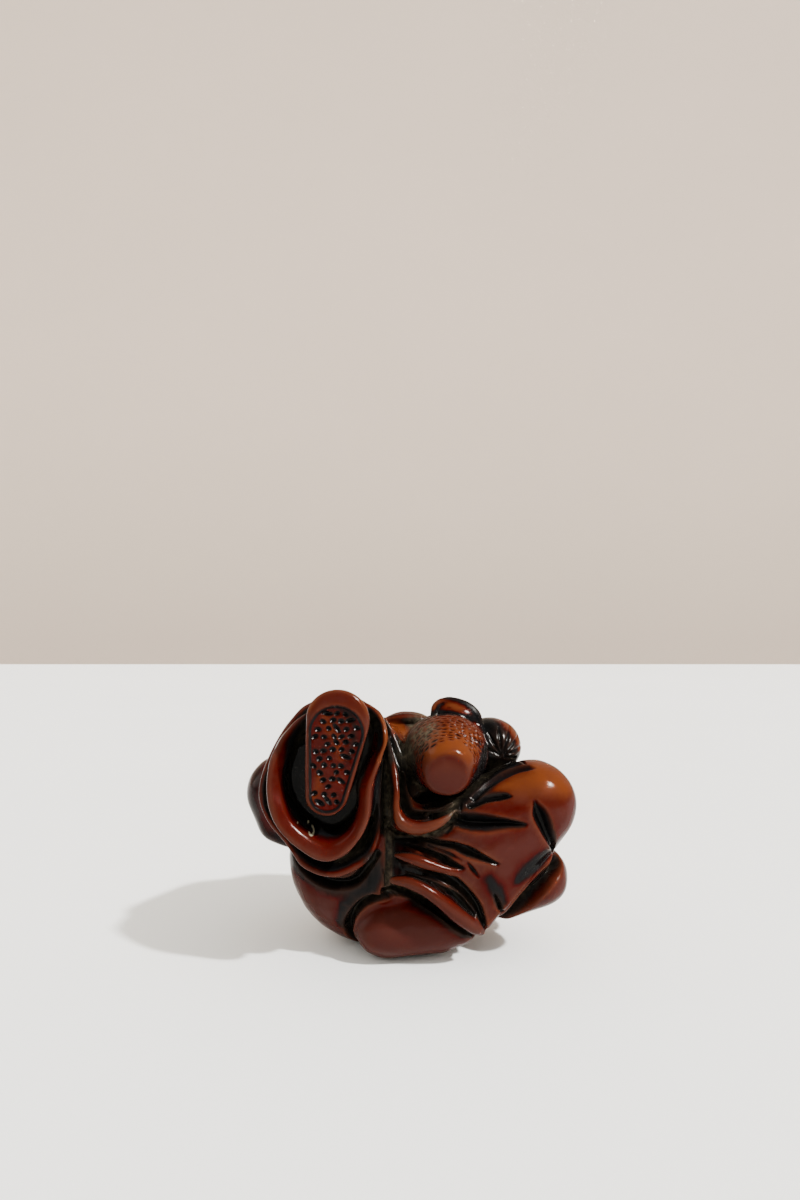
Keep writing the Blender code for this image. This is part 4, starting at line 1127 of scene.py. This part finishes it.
def make_netsuke():
    bm = bmesh.new()
    forms = (
        add_body, add_leg, add_shoe, add_knee_and_drape, add_lap_folds, add_head, add_collars, add_shoulders)
    for add_form in forms:
        add_form(bm)
    netsuke = new_object("netsuke_carving", bm)
    fuse(netsuke, GRAIN)
    keep_largest_skin(netsuke.data)
    mesh = netsuke.data
    store(mesh, "cut", fine_carve(mesh))
    store(mesh, "fine", fine_areas(points_of(mesh)))
    height = bulge(mesh)
    store(mesh, "crease", np.clip(-height / EDGE_HEIGHT - 0.15, 0, 1))
    store(mesh, "edge", spread(mesh, np.clip(height / EDGE_HEIGHT - 0.1, 0, 1), 2))
    skin = skin_tree(mesh)
    thin_out(netsuke)
    fill_out(netsuke.data, skin, LONGEST_EDGE)
    bore_cord_channel(netsuke)
    middle = stand_it(netsuke.data)
    colour_the_surface(netsuke.data)
    set_on_box(netsuke.data, middle)
    netsuke.data.shade_smooth()
    return netsuke


# ---- materials ----


class Nodes:
    """A short way to write the node tree of a material or a world."""

    def __init__(self, owner):
        owner.use_nodes = True
        self.tree = owner.node_tree
        self.shader = self.tree.nodes.get("Principled BSDF") or self.tree.nodes["Background"]
        self.plus = partial(self.maths, "ADD")
        self.minus = partial(self.maths, "SUBTRACT")
        self.times = partial(self.maths, "MULTIPLY")

    def add(self, kind, **inputs):
        node = self.tree.nodes.new("ShaderNode" + kind)
        for name, value in inputs.items():
            self.give(node, name.replace("_", " "), value)
        return node

    def give(self, node, name, value):
        socket = node.inputs[name]
        if isinstance(value, bpy.types.NodeSocket):
            self.tree.links.new(value, socket)
        else:
            socket.default_value = value

    def maths(self, operation, first, second=0.0, clamp=False):
        node = self.add("Math")
        node.operation = operation
        node.use_clamp = clamp
        self.give(node, 0, first)
        self.give(node, 1, second)
        return node.outputs[0]

    def between(self, value, start, full, low, high, curve="SMOOTHSTEP"):
        """Low up to the start, high from full on, and a curve between them."""
        node = self.add("MapRange", From_Min=start, From_Max=full, To_Min=low, To_Max=high, Value=value)
        node.interpolation_type = curve
        return node.outputs[0]

    def colours(self, value, stops):
        node = self.add("ValToRGB", Fac=value)
        elements = node.color_ramp.elements
        for _ in range(len(stops) - 2):
            elements.new(0.5)
        for element, (position, colour) in zip(elements, stops):
            element.position = position
            element.color = (*colour, 1)
        return node.outputs[0]

    def mix(self, share, first, second):
        node = self.add("Mix")
        node.data_type = "RGBA"
        self.give(node, 0, share)
        self.give(node, 6, first)
        self.give(node, 7, second)
        return node.outputs[2]

    def value(self, name):
        node = self.add("Attribute")
        node.attribute_name = name
        return node.outputs["Fac"]

    def noise(self, scale, detail=3.0, rough=0.5):
        place = self.add("TexCoord").outputs["Object"]
        node = self.add("TexNoise", Vector=place, Scale=scale, Detail=detail, Roughness=rough)
        return node.outputs["Fac"]


def pale_marks(n):
    """The chip, as an open ring, and the specks beside it."""
    across, up = n.value("chip across"), n.value("chip up")

    def distance(to_across, to_up):
        sideways, upwards = n.minus(across, to_across), n.minus(up, to_up)
        return n.maths("SQRT", n.plus(n.times(sideways, sideways), n.times(upwards, upwards)))

    off_line = n.maths("ABSOLUTE", n.minus(distance(0, 0), 1.0))
    ring = n.minus(1.7, n.times(off_line, 4.0), clamp=True)
    gap = n.times(n.maths("LESS_THAN", across, 0.1), n.maths("GREATER_THAN", up, -0.2))
    marks = n.times(ring, n.minus(1.0, gap))
    for to_across, to_up, width in SPECKS:
        nearness = n.maths("DIVIDE", distance(to_across, to_up), width)
        marks = n.maths("MAXIMUM", marks, n.minus(1.5, nearness, clamp=True))
    return n.times(marks, n.value("hollow"), clamp=True)


def stained_wood():
    """Boxwood, near black where stain collects, deep red where it thins, orange-brown where it is worn. Lit
    tops are painted orange-brown too, and the greys of the dark stain are a painted sheen.
    """
    material = bpy.data.materials.new("stained_boxwood")
    n = Nodes(material)
    cloud, fine = n.noise(CLOUDS[0], 4, 0.6), n.noise(FLECKS[0], 3, 0.6)
    stain_and_shade = n.plus(n.value("stain_and_shade"), n.times(n.minus(cloud, 0.5), CLOUDS[1]))
    stain_and_shade = n.plus(stain_and_shade, n.times(n.minus(fine, 0.5), FLECKS[1]), clamp=True)
    unstained = n.minus(1.0, n.times(stain_and_shade, 2.0), clamp=True)
    worn_and_lit = n.times(n.value("worn_and_lit"), n.times(unstained, n.plus(cloud, 0.35)), clamp=True)
    edge = n.times(n.value("edge"), n.minus(1.15, stain_and_shade, clamp=True), clamp=True)
    specks = n.times(n.minus(fine, 0.42), 4.0, clamp=True)
    dust_and_sheen = n.times(n.value("dust_and_sheen"), n.plus(n.times(specks, 0.7), 0.3), clamp=True)
    # the grey stops of this ramp paint a sheen on the dark stain
    colour = n.colours(stain_and_shade, STAIN_AND_SHEEN_COLOURS)
    layers = (
        (worn_and_lit, WORN_AND_LIT_COLOUR),
        (n.times(edge, 0.3), EDGE_COLOUR),
        (dust_and_sheen, DUST_AND_SHEEN_COLOUR),
        (pale_marks(n), CHIP_COLOUR),
    )
    for share, layer in layers:
        colour = n.mix(share, colour, layer)
    n.give(n.shader, "Base Color", colour)
    rough = n.plus(n.times(fine, 0.14), n.times(cloud, 0.10))
    rough = n.plus(rough, n.plus(n.times(n.value("dust_and_sheen"), 0.5), 0.12))
    n.give(n.shader, "Roughness", rough)
    n.give(n.shader, "Specular IOR Level", 0.02)
    n.give(n.shader, "Coat Weight", 0.05)
    n.give(n.shader, "Coat Roughness", 0.12)
    bump = n.add("Bump", Strength=0.12, Distance=0.00004, Height=n.noise(2600, 4, 0.65))
    n.give(n.shader, "Normal", bump.outputs[0])
    return material


def plain(name, colour, rough):
    """A pale surface with slow, faint clouds."""
    material = bpy.data.materials.new(name)
    n = Nodes(material)
    darker = tuple(0.94 * c for c in colour)
    n.give(n.shader, "Base Color", n.mix(n.noise(14, 3), (*darker, 1), (*colour, 1)))
    n.give(n.shader, "Roughness", rough)
    return material


# ---- stage, light and camera ----


def add_sheet(name, middle, size, tilt, material):
    bpy.ops.mesh.primitive_grid_add(size=1, location=middle, rotation=(math.radians(tilt), 0, 0))
    sheet = bpy.context.object
    sheet.name = name
    sheet.scale = (*size, 1)
    sheet.data.materials.append(material)
    return sheet


def add_stage():
    floor = add_sheet("floor", (0, -0.08, 0), (1.6, 1.0), 0, plain("pale_floor", FLOOR_COLOUR, 0.7))
    paper = plain("pale_backdrop", BACKDROP_COLOUR, 0.9)
    wall = add_sheet("backdrop", (0, 0.75, 0.2), (3.4, 2.2), 90, paper)


def add_light():
    """A warm lamp from the upper right, and a pale ceiling over dimmer walls."""
    world = bpy.data.worlds.new("studio")
    bpy.context.scene.world = world
    n = Nodes(world)
    way = n.add("TexCoord").outputs["Generated"]
    upward = n.add("SeparateXYZ", Vector=way).outputs["Z"]
    in_polish = n.add("LightPath").outputs["Is Glossy Ray"]
    room = n.between(upward, -0.05, 0.85, WALL_LIGHT, CEILING_LIGHT)
    strength = n.times(room, n.between(in_polish, 0.0, 1.0, 1.0, SHINE, "LINEAR"))
    for direction, start, full, shine in (WINDOW_PATCH, LAMP_PATCH):
        aim = n.add("VectorMath")
        aim.operation = "DOT_PRODUCT"
        n.give(aim, 0, way)
        n.give(aim, 1, Vector(direction).normalized())
        patch = n.between(aim.outputs["Value"], start, full, 0.0, shine)
        strength = n.plus(strength, n.times(patch, in_polish))
    n.give(n.shader, "Strength", strength)
    n.give(n.shader, "Color", ROOM_COLOUR)
    sun = bpy.data.lights.new("key", "SUN")
    sun.energy = LAMP_LIGHT
    sun.angle = math.radians(LAMP_WIDTH)
    sun.color = LAMP_COLOUR
    key = add_object("key", sun)
    key.rotation_euler = Vector(LAMP_FROM).to_track_quat("Z", "Y").to_euler()


def add_camera():
    lens = bpy.data.cameras.new("camera")
    lens.lens = LENS
    lens.sensor_width = 36
    lens.clip_start = 0.002
    camera = add_object("camera", lens)
    camera.location = (CAMERA_X, -CAMERA_AWAY, CAMERA_HEIGHT)
    camera.rotation_euler = (math.radians(90), 0, 0)
    bpy.context.scene.camera = camera


def main():
    wood = stained_wood()
    netsuke = make_netsuke()
    netsuke.data.materials.clear()
    netsuke.data.materials.append(wood)
    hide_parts("netsuke_figure")
    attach(netsuke, "root")
    add_stage()
    add_light()
    add_camera()


main()
